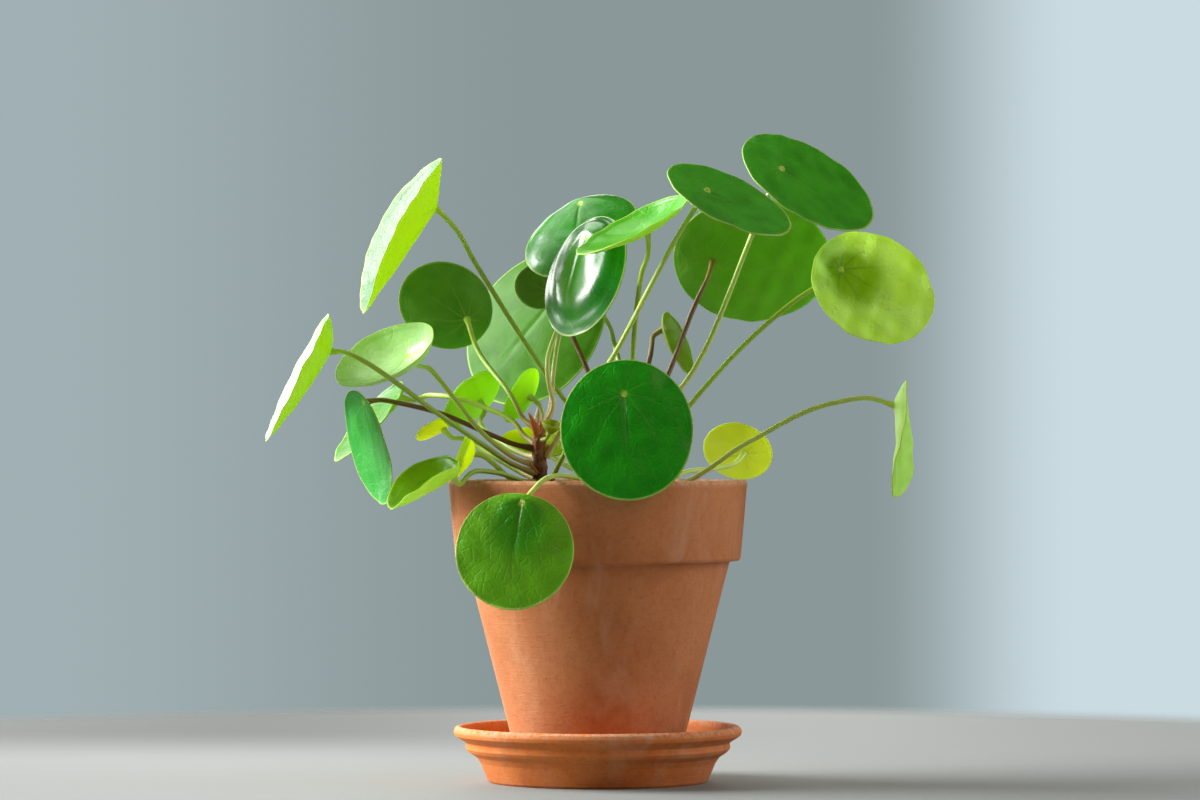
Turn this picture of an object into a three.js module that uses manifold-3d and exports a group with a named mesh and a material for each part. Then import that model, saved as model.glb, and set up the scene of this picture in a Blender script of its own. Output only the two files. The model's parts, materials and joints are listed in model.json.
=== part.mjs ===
// Potted Chinese money plant: terracotta pot and saucer, soil, two stems and their round leaves.
// Millimetres, +Z up, +X to the plant's right, -Y towards its front.
// The origin is on the pot's axis at the underside of the saucer.
import * as THREE from 'three';
import { mergeVertices } from 'three/addons/utils/BufferGeometryUtils.js';
import Module from 'manifold-3d';

const wasm = await Module();
wasm.setup();

// ---- driving dimensions -------------------------------------------------------------------
const GAP = 0.3;                  // clearance between neighbouring pieces

const SAUCER_FOOT_RADIUS = 47;
const SAUCER_LIP_RADIUS = 62.7;
const SAUCER_HEIGHT = 24.4;
const SAUCER_FLOOR = 6;           // height of the inner floor

const POT_BASE_Z = SAUCER_FLOOR + GAP;
const POT_BASE_RADIUS = 34.5;
const POT_TOP_Z = 131;
const POT_RIM_RADIUS = 65;
const POT_WALL = 7.5;
const POT_FLOOR = 8;
const COLLAR_BASE_Z = 96.7;
const COLLAR_BASE_RADIUS = 62;
const BODY_TOP_RADIUS = 57;
const DRAIN_HOLE_RADIUS = 6;

const SOIL_LEVEL = 118;
const SOIL_CROWN = 1.5;           // the soil stands a little higher in the middle
const SOIL_CLEARANCE = 0.6;       // soil to pot wall
const STEM_DEPTH = 16;            // how far a stem reaches into the soil
const SCAR_SWELLING = 0.35;       // a leaf scar stands this far out of its stem
const SCAR_HOLLOW = 0.1;          // and the bark between two scars lies this far in

const POT_SIDES = 40;
const SOIL_SIDES = 32;
const STEM_SIDES = 12;
const BLADE_SIDES = 18;
const BLADE_RINGS = [0.42, 0.78];
const BLADE_THICKNESS = 0.9;
const RIM_THINNING = 0.6;         // share of its thickness that a blade loses towards the rim
const NOTCH_SPREAD = 0.4;         // half the angle that a blade's notch takes up, in radians
const PETIOLE_SIDES = 6;
const PETIOLE_STEPS = 10;
const PETIOLE_RADIUS = 1.1;
const PETIOLE_START = 3;          // first stretch of a petiole, square to the bark at first
const PETIOLE_SPREAD = 0.75;      // share of that stretch's direction that is level
const PETIOLE_SEAT = 4;           // last stretch of a petiole, square to the blade

// ---- materials ----------------------------------------------------------------------------
const finish = (color, roughness) => new THREE.MeshStandardMaterial({ color, roughness, metalness: 0 });

const FINISHES = {
  terracotta: finish(0xb26a3c, 0.85),
  terracottaSaucer: finish(0xc8743a, 0.8),
  soil: finish(0x3a2a1e, 1.0),
  bark: finish(0x6e3f22, 0.8),
  scale: finish(0xb8743c, 0.7),
  darkLeaf: finish(0x1f6b16, 0.35),
  midLeaf: finish(0x3f8a1f, 0.4),
  lightLeaf: finish(0x8cc63a, 0.4),
  yellowLeaf: finish(0xb4c43c, 0.45),
  greenPetiole: finish(0xa4bc68, 0.5),
  olivePetiole: finish(0x7c8a3c, 0.5),
  brownPetiole: finish(0x6b4a28, 0.6),
};

const plant = new THREE.Group();

function addPiece(name, geometry, material) {
  const mesh = new THREE.Mesh(geometry, material);
  mesh.name = name;
  plant.add(mesh);
  return mesh;
}

// ---- shared shape helpers -----------------------------------------------------------------
// A body turned about the Z axis from [radius, height] points.
function turned(profile, sides) {
  const points = profile.map(([radius, height]) => new THREE.Vector2(radius, height));
  return new THREE.LatheGeometry(points, sides).rotateX(Math.PI / 2);
}

function closedProfile(profile) {
  return [...profile, profile[0]];
}

function toSolid(geometry) {
  const bare = geometry.clone();
  bare.deleteAttribute('normal');
  bare.deleteAttribute('uv');
  const merged = mergeVertices(bare, 1e-3);
  return new wasm.Manifold(new wasm.Mesh({
    numProp: 3,
    vertProperties: merged.attributes.position.array,
    triVerts: Uint32Array.from(merged.index.array),
  }));
}

function toGeometry(solid) {
  const mesh = solid.getMesh();
  const geometry = new THREE.BufferGeometry();
  geometry.setAttribute('position', new THREE.BufferAttribute(mesh.vertProperties, 3));
  geometry.setIndex(new THREE.BufferAttribute(mesh.triVerts, 1));
  return geometry;
}

// ---- saucer and pot -----------------------------------------------------------------------
function makeSaucer() {
  const lip = SAUCER_LIP_RADIUS;
  const top = SAUCER_HEIGHT;
  return turned([
    [0, 0], [SAUCER_FOOT_RADIUS, 0], [SAUCER_FOOT_RADIUS + 1, 0.9],
    [51.2, 8.4], [53, 11], [56.2, 13], [57.6, 14.6], [57.4, 17.2],
    [lip - 3, 18.6], [lip - 0.5, 20.2], [lip, 21.8], [lip - 0.5, 23.4], [lip - 2, top],
    [lip - 3.6, 23.8], [52.5, 10.5], [49.5, 7], [46, SAUCER_FLOOR], [0, SAUCER_FLOOR],
  ], POT_SIDES);
}

const POT_INNER_TOP = POT_RIM_RADIUS - POT_WALL;
const POT_INNER_BASE = POT_BASE_RADIUS - POT_WALL + 1;
const POT_FLOOR_Z = POT_BASE_Z + POT_FLOOR;

function potInnerRadius(z) {
  const share = (z - POT_FLOOR_Z) / (POT_TOP_Z - POT_FLOOR_Z);
  return POT_INNER_BASE + (POT_INNER_TOP - POT_INNER_BASE) * share;
}

function makePot() {
  const rim = POT_RIM_RADIUS;
  return turned(closedProfile([
    [DRAIN_HOLE_RADIUS, POT_BASE_Z], [POT_BASE_RADIUS - 0.8, POT_BASE_Z],
    [POT_BASE_RADIUS + 0.2, POT_BASE_Z + 1], [BODY_TOP_RADIUS, 95], [57.6, 95.9],
    [COLLAR_BASE_RADIUS - 0.8, 96.1], [COLLAR_BASE_RADIUS, COLLAR_BASE_Z + 0.6],
    [rim - 0.2, POT_TOP_Z - 2.4], [rim, POT_TOP_Z - 1.4], [rim - 0.8, POT_TOP_Z],
    [POT_INNER_TOP + 0.9, POT_TOP_Z], [potInnerRadius(POT_TOP_Z - 1.2), POT_TOP_Z - 1.2],
    [potInnerRadius(POT_FLOOR_Z + 2), POT_FLOOR_Z + 2], [POT_INNER_BASE - 1.6, POT_FLOOR_Z],
    [DRAIN_HOLE_RADIUS, POT_FLOOR_Z],
  ]), POT_SIDES);
}

// ---- stems --------------------------------------------------------------------------------
// Each stem is a turned woody stub whose swellings are old leaf scars.
const STEMS = {
  main: { foot: [-24.5, -8], lean: [-0.03, 0], top: 157, radius: 3.4, tip: 2.7, scars: 8 },
  side: { foot: [12, 6], lean: [0.04, 0.03], top: 149, radius: 3.8, tip: 3, scars: 6 },
};

function stemAxisAt(stem, z) {
  const rise = z - SOIL_LEVEL;
  return new THREE.Vector3(stem.foot[0] + stem.lean[0] * rise, stem.foot[1] + stem.lean[1] * rise, z);
}

function stemRadiusAt(stem, z) {
  const share = THREE.MathUtils.clamp((z - SOIL_LEVEL) / (stem.top - SOIL_LEVEL), 0, 1);
  return stem.radius + (stem.tip - stem.radius) * share;
}

function stemGeometry(stem, extra) {
  const bottom = SOIL_LEVEL - STEM_DEPTH - extra;
  const profile = [[0, bottom], [stem.radius - 1 + extra, bottom]];
  const rings = stem.scars * 2;
  for (let i = 0; i <= rings; i += 1) {
    const z = SOIL_LEVEL - STEM_DEPTH * 0.6 + (stem.top - SOIL_LEVEL + STEM_DEPTH * 0.6 - 3) * (i / rings);
    const swell = i % 2 === 0 ? SCAR_SWELLING : -SCAR_HOLLOW;
    profile.push([stemRadiusAt(stem, z) + swell + extra, z]);
  }
  profile.push([stem.tip * 0.7 + extra, stem.top - 1], [0, stem.top + extra]);
  const geometry = turned(profile, STEM_SIDES);
  const shear = new THREE.Matrix4().set(
    1, 0, stem.lean[0], stem.foot[0] - stem.lean[0] * SOIL_LEVEL,
    0, 1, stem.lean[1], stem.foot[1] - stem.lean[1] * SOIL_LEVEL,
    0, 0, 1, 0,
    0, 0, 0, 1);
  return geometry.applyMatrix4(shear);
}

function makeSoil() {
  const blank = turned([
    [0, POT_FLOOR_Z + GAP], [POT_INNER_BASE - 2, POT_FLOOR_Z + GAP],
    [potInnerRadius(POT_FLOOR_Z + 2) - SOIL_CLEARANCE, POT_FLOOR_Z + 2.4],
    [potInnerRadius(SOIL_LEVEL) - SOIL_CLEARANCE, SOIL_LEVEL], [40, SOIL_LEVEL + SOIL_CROWN * 0.4],
    [20, SOIL_LEVEL + SOIL_CROWN * 0.8], [0, SOIL_LEVEL + SOIL_CROWN],
  ], SOIL_SIDES);
  let solid = toSolid(blank);
  for (const stem of Object.values(STEMS)) {
    solid = solid.subtract(toSolid(stemGeometry(stem, GAP)));
  }
  return toGeometry(solid);
}

// ---- leaves -------------------------------------------------------------------------------
// spot   where the petiole meets the blade            facing  the way the upper side looks
// tip    the way the blade's tip points               length, width  of the blade
// base   share of the length behind the spot          cup     rim's height over the spot
// fold   rise of both side edges                      droop   fall of the tip
// twist  turn of the tip                              notch   depth of the notch at the base
// flare  power of the cup's curve: 2 is a bowl, 1 is a cone
// stem, height  where the petiole leaves its stem     via     points that the petiole passes
const LEAVES = [
  { name: 'leaf_01', finish: 'darkLeaf', stalk: 'olivePetiole',
    spot: [11, -69, 168], facing: [0, -1, 0.12], tip: [0.08, 0, -1], length: 60, width: 56,
    base: 0.245, cup: -2, stem: 'main', height: 127, via: [[-14, -32, 143], [-3, -50, 155]] },
  { name: 'leaf_02', finish: 'midLeaf', stalk: 'greenPetiole',
    spot: [-32, -72, 122], facing: [-0.1, -1, 0.2], tip: [-0.15, -0.1, -1], length: 50.5, width: 50,
    base: 0.1, cup: -2, notch: 0.06, stem: 'side', height: 127,
    via: [[1, -28, 130.5], [-10, -48, 132.6], [-18, -61, 133.2], [-26, -69, 129.6]] },
  { name: 'leaf_03', finish: 'lightLeaf', stalk: 'olivePetiole',
    spot: [-116, -20, 187], facing: [-0.89, -0.12, 0.44], tip: [-0.44, -0.02, -0.9], length: 61.5, width: 54,
    base: 0.23, cup: 7.2, fold: 1, flare: 1.7, stem: 'main', height: 134.5,
    via: [[-46, -18, 144], [-69, -29, 160], [-92, -37, 177], [-108, -26, 186]] },
  { name: 'leaf_04', finish: 'lightLeaf', stalk: 'olivePetiole',
    spot: [-71.5, 10, 250], facing: [-0.88, -0.18, 0.44], tip: [-0.45, 0, -0.89], length: 76, width: 62,
    base: 0.27, cup: 7.3, fold: 7.5, flare: 1.1, stem: 'side', height: 139,
    via: [[-8, 16, 157], [-25, 16, 180.5], [-52, 13, 223]] },
  { name: 'leaf_05', finish: 'midLeaf', stalk: 'olivePetiole',
    spot: [-58, 35, 202], facing: [-0.1, 1, 0.2], tip: [-0.8, 0, 0.5], length: 43, width: 38,
    base: 0.25, cup: 3, stem: 'main', height: 154.5, via: [[-38, 3, 168], [-53, 26, 188]] },
  { name: 'leaf_06', finish: 'lightLeaf', stalk: 'olivePetiole',
    spot: [-19, 60, 212], facing: [-0.5, -0.8, 0.3], tip: [-0.68, 0.1, -0.73], length: 76, width: 68,
    base: 0.28, cup: -4, stem: 'side', height: 141, via: [[11, 30, 172], [8, 44, 188], [1, 64, 205]] },
  { name: 'leaf_07', finish: 'darkLeaf', stalk: 'greenPetiole',
    spot: [-8, 29, 253], facing: [-0.4, -0.6, 0.68], tip: [-0.15, -0.75, -0.65], length: 51, width: 54,
    base: 0.2, cup: -6, stem: 'main', height: 155, via: [[-19, 1, 181], [-15, 10, 205], [-9, 22, 236]] },
  { name: 'leaf_08', finish: 'darkLeaf', stalk: 'greenPetiole',
    spot: [-6, -16, 236], facing: [-0.7, -0.6, 0.28], tip: [-0.3, 0, -0.95], length: 55, width: 50,
    base: 0.22, cup: -8, stem: 'main', height: 156.5, via: [[-22, -8, 181], [-16, 1, 200], [-4, -1, 222]] },
  { name: 'leaf_09', finish: 'midLeaf', stalk: 'olivePetiole',
    spot: [20.5, -42, 238.5], facing: [-0.45, -0.2, 0.87], tip: [-0.2, -0.85, -0.4], length: 54, width: 55,
    base: 0.31, cup: 6, stem: 'side', height: 147, via: [[15, -12, 185], [19, -33, 221]] },
  { name: 'leaf_10', finish: 'midLeaf', stalk: 'greenPetiole',
    spot: [46.5, -46, 254.8], facing: [0.38, -0.42, 0.82], tip: [0.86, -0.25, -0.45], length: 58, width: 53,
    base: 0.32, cup: 1.5, stem: 'main', height: 142,
    via: [[-16, -12, 152], [-3.5, -22, 170], [7, -31, 185], [24, -40, 217], [38, -46, 242]] },
  { name: 'leaf_11', finish: 'darkLeaf', stalk: 'greenPetiole',
    spot: [80, 0, 266.5], facing: [0.45, -0.53, 0.73], tip: [0.86, -0.15, -0.5], length: 65, width: 62,
    base: 0.3, cup: 2, stem: 'side', height: 144, via: [[26, 3, 157], [43, 2, 181], [53, 2, 202], [66, 3, 235]] },
  { name: 'leaf_12', finish: 'lightLeaf', stalk: 'brownPetiole',
    spot: [51, 45, 228.5], facing: [0.05, 0.76, 0.65], tip: [0.98, 0.1, -0.1], length: 70, width: 70,
    base: 0.25, cup: 4, stem: 'side', height: 146, via: [[23, 14, 160], [32, 22, 180], [42, 33, 206]] },
  { name: 'leaf_13', finish: 'lightLeaf', stalk: 'olivePetiole',
    spot: [107, 25, 223.5], facing: [0.25, -0.87, 0.4], tip: [0.83, 0.1, -0.55], length: 57.5, width: 53,
    base: 0.22, cup: 1, stem: 'side', height: 138,
    via: [[43, 16, 167], [62, 20, 188], [82, 25, 206], [96, 29, 216]] },
  { name: 'leaf_14', finish: 'lightLeaf', stalk: 'greenPetiole',
    spot: [130.7, 10, 163.5], facing: [0.995, -0.05, 0.05], tip: [0.05, 0, -1], length: 51, width: 42,
    base: 0.21, cup: 4.5, twist: 9, droop: 10, stem: 'side', height: 124,
    via: [[43.5, 8, 132.5], [58, 8, 143], [74, 9, 152], [90, 9, 160.5], [105, 10, 165], [120, 10, 166.5]] },
  { name: 'leaf_15', finish: 'yellowLeaf', stalk: 'greenPetiole',
    spot: [66, 85, 143], facing: [0.1, 0.75, 0.65], tip: [-0.3, -0.4, -0.5], length: 31, width: 34,
    base: 0.4, cup: 2, stem: 'side', height: 128, via: [[25, 28, 127], [38, 50, 133.8], [55, 73, 136]] },
  { name: 'leaf_16', finish: 'midLeaf', stalk: 'brownPetiole',
    spot: [30, 40, 198], facing: [0.85, -0.35, 0.35], tip: [0.35, 0, -0.93], length: 30, width: 24,
    base: 0.22, cup: 3, stem: 'side', height: 148.5, via: [[18, 18, 166], [23, 31, 185]] },
  { name: 'leaf_17', finish: 'lightLeaf', stalk: 'greenPetiole',
    spot: [-83, 2, 185.5], facing: [-0.42, -0.46, 0.78], tip: [-0.46, -0.76, -0.46], length: 46, width: 48,
    base: 0.22, cup: 10.5, flare: 2.4, notch: 0.06, stem: 'main', height: 138,
    via: [[-49, -11, 150.5], [-63.5, -7, 168], [-74, -3, 180]] },
  { name: 'leaf_18', finish: 'midLeaf', stalk: 'brownPetiole',
    spot: [-102, -4, 164.5], facing: [-0.87, -0.36, -0.26], tip: [0.28, -0.05, -0.96], length: 52, width: 46,
    base: 0.13, cup: 4, stem: 'main', height: 145,
    via: [[-46.5, -7, 150.7], [-68.5, -6, 160], [-91, -5, 165.3]] },
  { name: 'leaf_19', finish: 'lightLeaf', stalk: 'olivePetiole',
    spot: [-88, 36, 168], facing: [-0.72, -0.25, 0.62], tip: [-0.65, 0, -0.76], length: 46, width: 40,
    base: 0.12, cup: 3, stem: 'main', height: 147,
    via: [[-37, 5, 156.5], [-52, 14, 163.5], [-66, 19, 167.5], [-78, 32, 167.5]] },
  { name: 'leaf_20', finish: 'midLeaf', stalk: 'olivePetiole',
    spot: [-62, -39, 133.5], facing: [-0.5, -0.3, 0.8], tip: [-0.83, -0.1, -0.55], length: 36, width: 34,
    base: 0.15, cup: 4, fold: 5, stem: 'main', height: 130, via: [[-44, -25, 134.5], [-54, -32.5, 134.6]] },
  { name: 'leaf_21', finish: 'lightLeaf', stalk: 'greenPetiole',
    spot: [-53, 36, 166], facing: [-0.62, 0.48, 0.62], tip: [-0.68, 0, -0.73], length: 32, width: 31,
    base: 0.45, cup: 3, stem: 'main', height: 141, via: [[-41, 10, 146.5], [-52, 27, 156]] },
  { name: 'leaf_22', finish: 'lightLeaf', stalk: 'greenPetiole',
    spot: [-69, 43, 154], facing: [-0.5, 0.35, 0.8], tip: [-0.75, -0.1, -0.6], length: 18, width: 16,
    base: 0.3, cup: 2, stem: 'main', height: 132, via: [[-43, 15, 139.5], [-60, 35, 149]] },
  { name: 'leaf_23', finish: 'midLeaf', stalk: 'greenPetiole',
    spot: [-55, 12, 143], facing: [-0.92, -0.2, 0.3], tip: [-0.35, 0, -0.93], length: 21, width: 20,
    base: 0.35, cup: 4, stem: 'main', height: 124, via: [[-40, 8, 133]] },
  { name: 'leaf_24', finish: 'lightLeaf', stalk: 'greenPetiole',
    spot: [-31, 32, 168], facing: [-0.8, 0.4, 0.45], tip: [-0.2, 0, -0.97], length: 27, width: 24,
    base: 0.45, cup: 3, stem: 'side', height: 131, via: [[-10, 18, 140], [-23, 26, 155]] },
  { name: 'leaf_25', finish: 'midLeaf', stalk: 'brownPetiole',
    spot: [-21.5, 42, 214.5], facing: [-0.2, 0.9, 0.3], tip: [-0.8, 0, 0.4], length: 23, width: 21,
    base: 0.3, cup: 2, stem: 'side', height: 147.5, via: [[-5, 23, 180], [-11, 29, 193.5], [-17, 34, 206]] },
  { name: 'leaf_26', finish: 'lightLeaf', stalk: 'greenPetiole',
    spot: [-23, 40, 148], facing: [0.05, -0.37, 0.93], tip: [-0.4, -0.8, -0.3], length: 36, width: 34,
    base: 0.3, cup: 2, stem: 'side', height: 125, via: [[-8, 26, 134], [-19, 38, 140]] },
  { name: 'leaf_27', finish: 'midLeaf', stalk: 'greenPetiole',
    spot: [-20.5, -20, 152.5], facing: [0.15, -0.35, 0.92], tip: [0.1, -0.9, -0.3], length: 9.5, width: 9,
    base: 0.35, cup: 4, stem: 'main', height: 148.5, via: [[-22.5, -15, 150]], radius: 0.7 },
];

// A dry papery scale at the foot of the crown, shaped like a long narrow blade.
const STIPULE = {
  spot: [-29.5, -11.5, 149], facing: [0.3, -0.9, 0.1], tip: [-0.35, 0, 0.94],
  length: 13, width: 4, base: 0.25, cup: -0.8,
};

// A leaf's own axes: along its midrib, across it, and out of its upper side.
function leafAxes(leaf) {
  const facing = new THREE.Vector3(...leaf.facing).normalize();
  const along = new THREE.Vector3(...leaf.tip);
  along.addScaledVector(facing, -along.dot(facing)).normalize();
  const across = new THREE.Vector3().crossVectors(facing, along);
  return { facing, along, across };
}

// One point of the blade's rim, in its own plane, measured from the spot.
function rimPoint(leaf, angle) {
  const fromBase = Math.abs(Math.PI - angle) / NOTCH_SPREAD;
  const shrink = 1 - (leaf.notch ?? 0) * 2 * Math.exp(-fromBase * fromBase);
  const shift = leaf.length * (0.5 - leaf.base);
  const x = shift + Math.cos(angle) * leaf.length / 2;
  const y = Math.sin(angle) * leaf.width / 2;
  return [x * shrink, y * shrink];
}

// Height of the upper side over the spot's plane, at a point of that plane.
function bladeHeight(leaf, x, y, share) {
  const side = y / (leaf.width / 2);
  const forward = Math.max(0, x) / leaf.length;
  const bowl = leaf.cup * share ** (leaf.flare ?? 2);
  const fold = (leaf.fold ?? 0) * side * side;
  const droop = (leaf.droop ?? 0) * forward * forward;
  const twist = (leaf.twist ?? 0) * forward * side;
  return bowl + fold - droop + twist;
}

// A thin closed shell: rings of points round the spot on both sides, joined at a sharp rim.
function bladeGeometry(leaf) {
  const { facing, along, across } = leafAxes(leaf);
  const spot = new THREE.Vector3(...leaf.spot);
  const place = (x, y, height) => spot.clone()
    .addScaledVector(along, x).addScaledVector(across, y).addScaledVector(facing, height);

  const points = [place(0, 0, 0), place(0, 0, -BLADE_THICKNESS)];
  const ringStart = (side, ring) => 2 + (side * BLADE_RINGS.length + ring) * BLADE_SIDES;
  for (let side = 0; side < 2; side += 1) {
    for (const share of BLADE_RINGS) {
      const drop = side * BLADE_THICKNESS * (1 - share * share * RIM_THINNING);
      for (let i = 0; i < BLADE_SIDES; i += 1) {
        const [x, y] = rimPoint(leaf, (i / BLADE_SIDES) * 2 * Math.PI).map((v) => v * share);
        points.push(place(x, y, bladeHeight(leaf, x, y, share) - drop));
      }
    }
  }
  const rimStart = points.length;
  for (let i = 0; i < BLADE_SIDES; i += 1) {
    const [x, y] = rimPoint(leaf, (i / BLADE_SIDES) * 2 * Math.PI);
    points.push(place(x, y, bladeHeight(leaf, x, y, 1)));
  }

  const faces = [];
  const addFace = (side, a, b, c) => faces.push(...(side === 0 ? [a, b, c] : [a, c, b]));
  for (let side = 0; side < 2; side += 1) {
    const starts = [...BLADE_RINGS.map((_, ring) => ringStart(side, ring)), rimStart];
    for (let i = 0; i < BLADE_SIDES; i += 1) {
      const next = (i + 1) % BLADE_SIDES;
      addFace(side, side, starts[0] + i, starts[0] + next);
      for (let ring = 1; ring < starts.length; ring += 1) {
        addFace(side, starts[ring - 1] + i, starts[ring] + i, starts[ring] + next);
        addFace(side, starts[ring - 1] + i, starts[ring] + next, starts[ring - 1] + next);
      }
    }
  }
  const geometry = new THREE.BufferGeometry().setFromPoints(points);
  geometry.setIndex(faces);
  return geometry;
}

// The petiole's centre line: off the stem's bark, through its points, square into the blade.
function petioleCurve(leaf) {
  const stem = STEMS[leaf.stem];
  const radius = leaf.radius ?? PETIOLE_RADIUS;
  const first = new THREE.Vector3(...leaf.via[0]);
  const axis = stemAxisAt(stem, leaf.height);
  const outward = first.clone().sub(axis).setZ(0).normalize();
  const clear = stemRadiusAt(stem, leaf.height) + SCAR_SWELLING + GAP;
  const start = axis.clone().addScaledVector(outward, clear + radius * 0.3);
  const rise = first.clone().sub(start).normalize().lerp(outward, PETIOLE_SPREAD).normalize();
  const { facing } = leafAxes(leaf);
  const seat = new THREE.Vector3(...leaf.spot).addScaledVector(facing, -BLADE_THICKNESS - GAP);
  return new THREE.CatmullRomCurve3([
    start, start.clone().addScaledVector(rise, PETIOLE_START),
    ...leaf.via.map((point) => new THREE.Vector3(...point)),
    seat.clone().addScaledVector(facing, -PETIOLE_SEAT), seat,
  ], false, 'centripetal');
}

function petioleGeometry(leaf) {
  const radius = leaf.radius ?? PETIOLE_RADIUS;
  const section = new THREE.Shape();
  for (let i = 0; i < PETIOLE_SIDES; i += 1) {
    const angle = (i / PETIOLE_SIDES) * 2 * Math.PI;
    const point = [radius * Math.cos(angle), radius * Math.sin(angle)];
    if (i === 0) section.moveTo(...point);
    else section.lineTo(...point);
  }
  section.closePath();
  return new THREE.ExtrudeGeometry(section, {
    steps: PETIOLE_STEPS, bevelEnabled: false, extrudePath: petioleCurve(leaf),
  });
}

// ---- assembly -----------------------------------------------------------------------------
addPiece('saucer', makeSaucer(), FINISHES.terracottaSaucer);
addPiece('pot', makePot(), FINISHES.terracotta);
addPiece('soil', makeSoil(), FINISHES.soil);
addPiece('main_stem', stemGeometry(STEMS.main, 0), FINISHES.bark);
addPiece('side_stem', stemGeometry(STEMS.side, 0), FINISHES.bark);
addPiece('stipule', bladeGeometry(STIPULE), FINISHES.scale);
for (const leaf of LEAVES) {
  addPiece(`${leaf.name}_blade`, bladeGeometry(leaf), FINISHES[leaf.finish]);
  addPiece(`${leaf.name}_petiole`, petioleGeometry(leaf), FINISHES[leaf.stalk]);
}

export default plant;
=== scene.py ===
# Potted Chinese money plant: fine leaves, stalks, stems, soil and terracotta, built round the packed model.
# Metres, +Z up, in the packed model's own frame.
import json
import math

import bmesh
import bpy
import numpy as np
from bpy.props import FloatProperty, FloatVectorProperty, IntProperty, PointerProperty
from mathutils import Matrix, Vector, noise


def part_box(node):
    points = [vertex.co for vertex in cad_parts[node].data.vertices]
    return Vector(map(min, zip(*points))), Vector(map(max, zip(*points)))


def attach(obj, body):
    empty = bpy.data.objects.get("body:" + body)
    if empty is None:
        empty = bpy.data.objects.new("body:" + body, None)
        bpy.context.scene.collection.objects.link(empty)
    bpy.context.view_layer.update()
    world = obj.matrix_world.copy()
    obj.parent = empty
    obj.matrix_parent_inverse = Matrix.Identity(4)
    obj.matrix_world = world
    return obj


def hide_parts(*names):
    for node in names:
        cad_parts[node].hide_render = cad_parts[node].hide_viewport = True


bl_info = {
    "name": "Potted money plant",
    "version": (1, 0, 0),
    "blender": (4, 5, 0),
    "location": "3D View > Sidebar > Money plant",
    "description": "Builds a potted Chinese money plant round its packed model",
    "category": "Add Mesh",
}

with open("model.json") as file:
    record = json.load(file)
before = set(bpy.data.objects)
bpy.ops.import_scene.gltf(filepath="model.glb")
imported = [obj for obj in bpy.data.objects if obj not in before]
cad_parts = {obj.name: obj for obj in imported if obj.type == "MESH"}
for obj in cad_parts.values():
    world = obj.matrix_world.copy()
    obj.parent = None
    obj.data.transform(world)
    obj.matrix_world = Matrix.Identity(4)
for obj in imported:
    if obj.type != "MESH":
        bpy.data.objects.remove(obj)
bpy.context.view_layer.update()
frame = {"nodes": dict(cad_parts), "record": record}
NODES = frame["nodes"]
LEAVES = sorted(name.removesuffix("_blade") for name in NODES if name.endswith("_blade"))
SLOTS = {part["node"]: part["material_slot"] for part in frame["record"]["subparts"]}

MM = 0.001
SAME_POINT = 0.004 * MM
TAU = 2 * math.pi
BODY = "root"


# ---- small helpers ----
def srgb(code):
    """A colour written as six hexadecimal digits, as the linear red, green and blue that Blender uses."""
    shown = [int(code[i : i + 2], 16) / 255 for i in (1, 3, 5)]
    return tuple(c / 12.92 if c <= 0.04045 else ((c + 0.055) / 1.055) ** 2.4 for c in shown)


def blended(first, second, share):
    return tuple(a + (b - a) * share for a, b in zip(first, second))


def smooth_step(low, high, value):
    share = np.clip((value - low) / (high - low), 0, 1)
    return share * share * (3 - 2 * share)


def circle(around):
    """The x and y of equal steps round a circle of radius 1."""
    return [(math.cos(TAU * i / around), math.sin(TAU * i / around)) for i in range(around)]


# ---- node graphs ----
class Wire:
    """One output socket of a node graph. Arithmetic on it adds Math nodes to its graph."""

    def __init__(self, graph, socket):
        self.graph = graph
        self.socket = socket

    def out(self, name):
        """Another output of the same node."""
        found = [s for s in self.socket.node.outputs if s.enabled and s.name == name]
        return Wire(self.graph, found[0])

    def math(self, operation, *others):
        return self.graph.math(operation, self, *others)

    def __add__(self, other):
        return self.math("ADD", other)

    def __sub__(self, other):
        return self.math("SUBTRACT", other)

    def __rsub__(self, other):
        return self.graph.math("SUBTRACT", other, self)

    def __mul__(self, other):
        return self.math("MULTIPLY", other)

    def __truediv__(self, other):
        return self.math("DIVIDE", other)

    def __pow__(self, other):
        return self.math("POWER", other)

    __radd__ = __add__
    __rmul__ = __mul__


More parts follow.
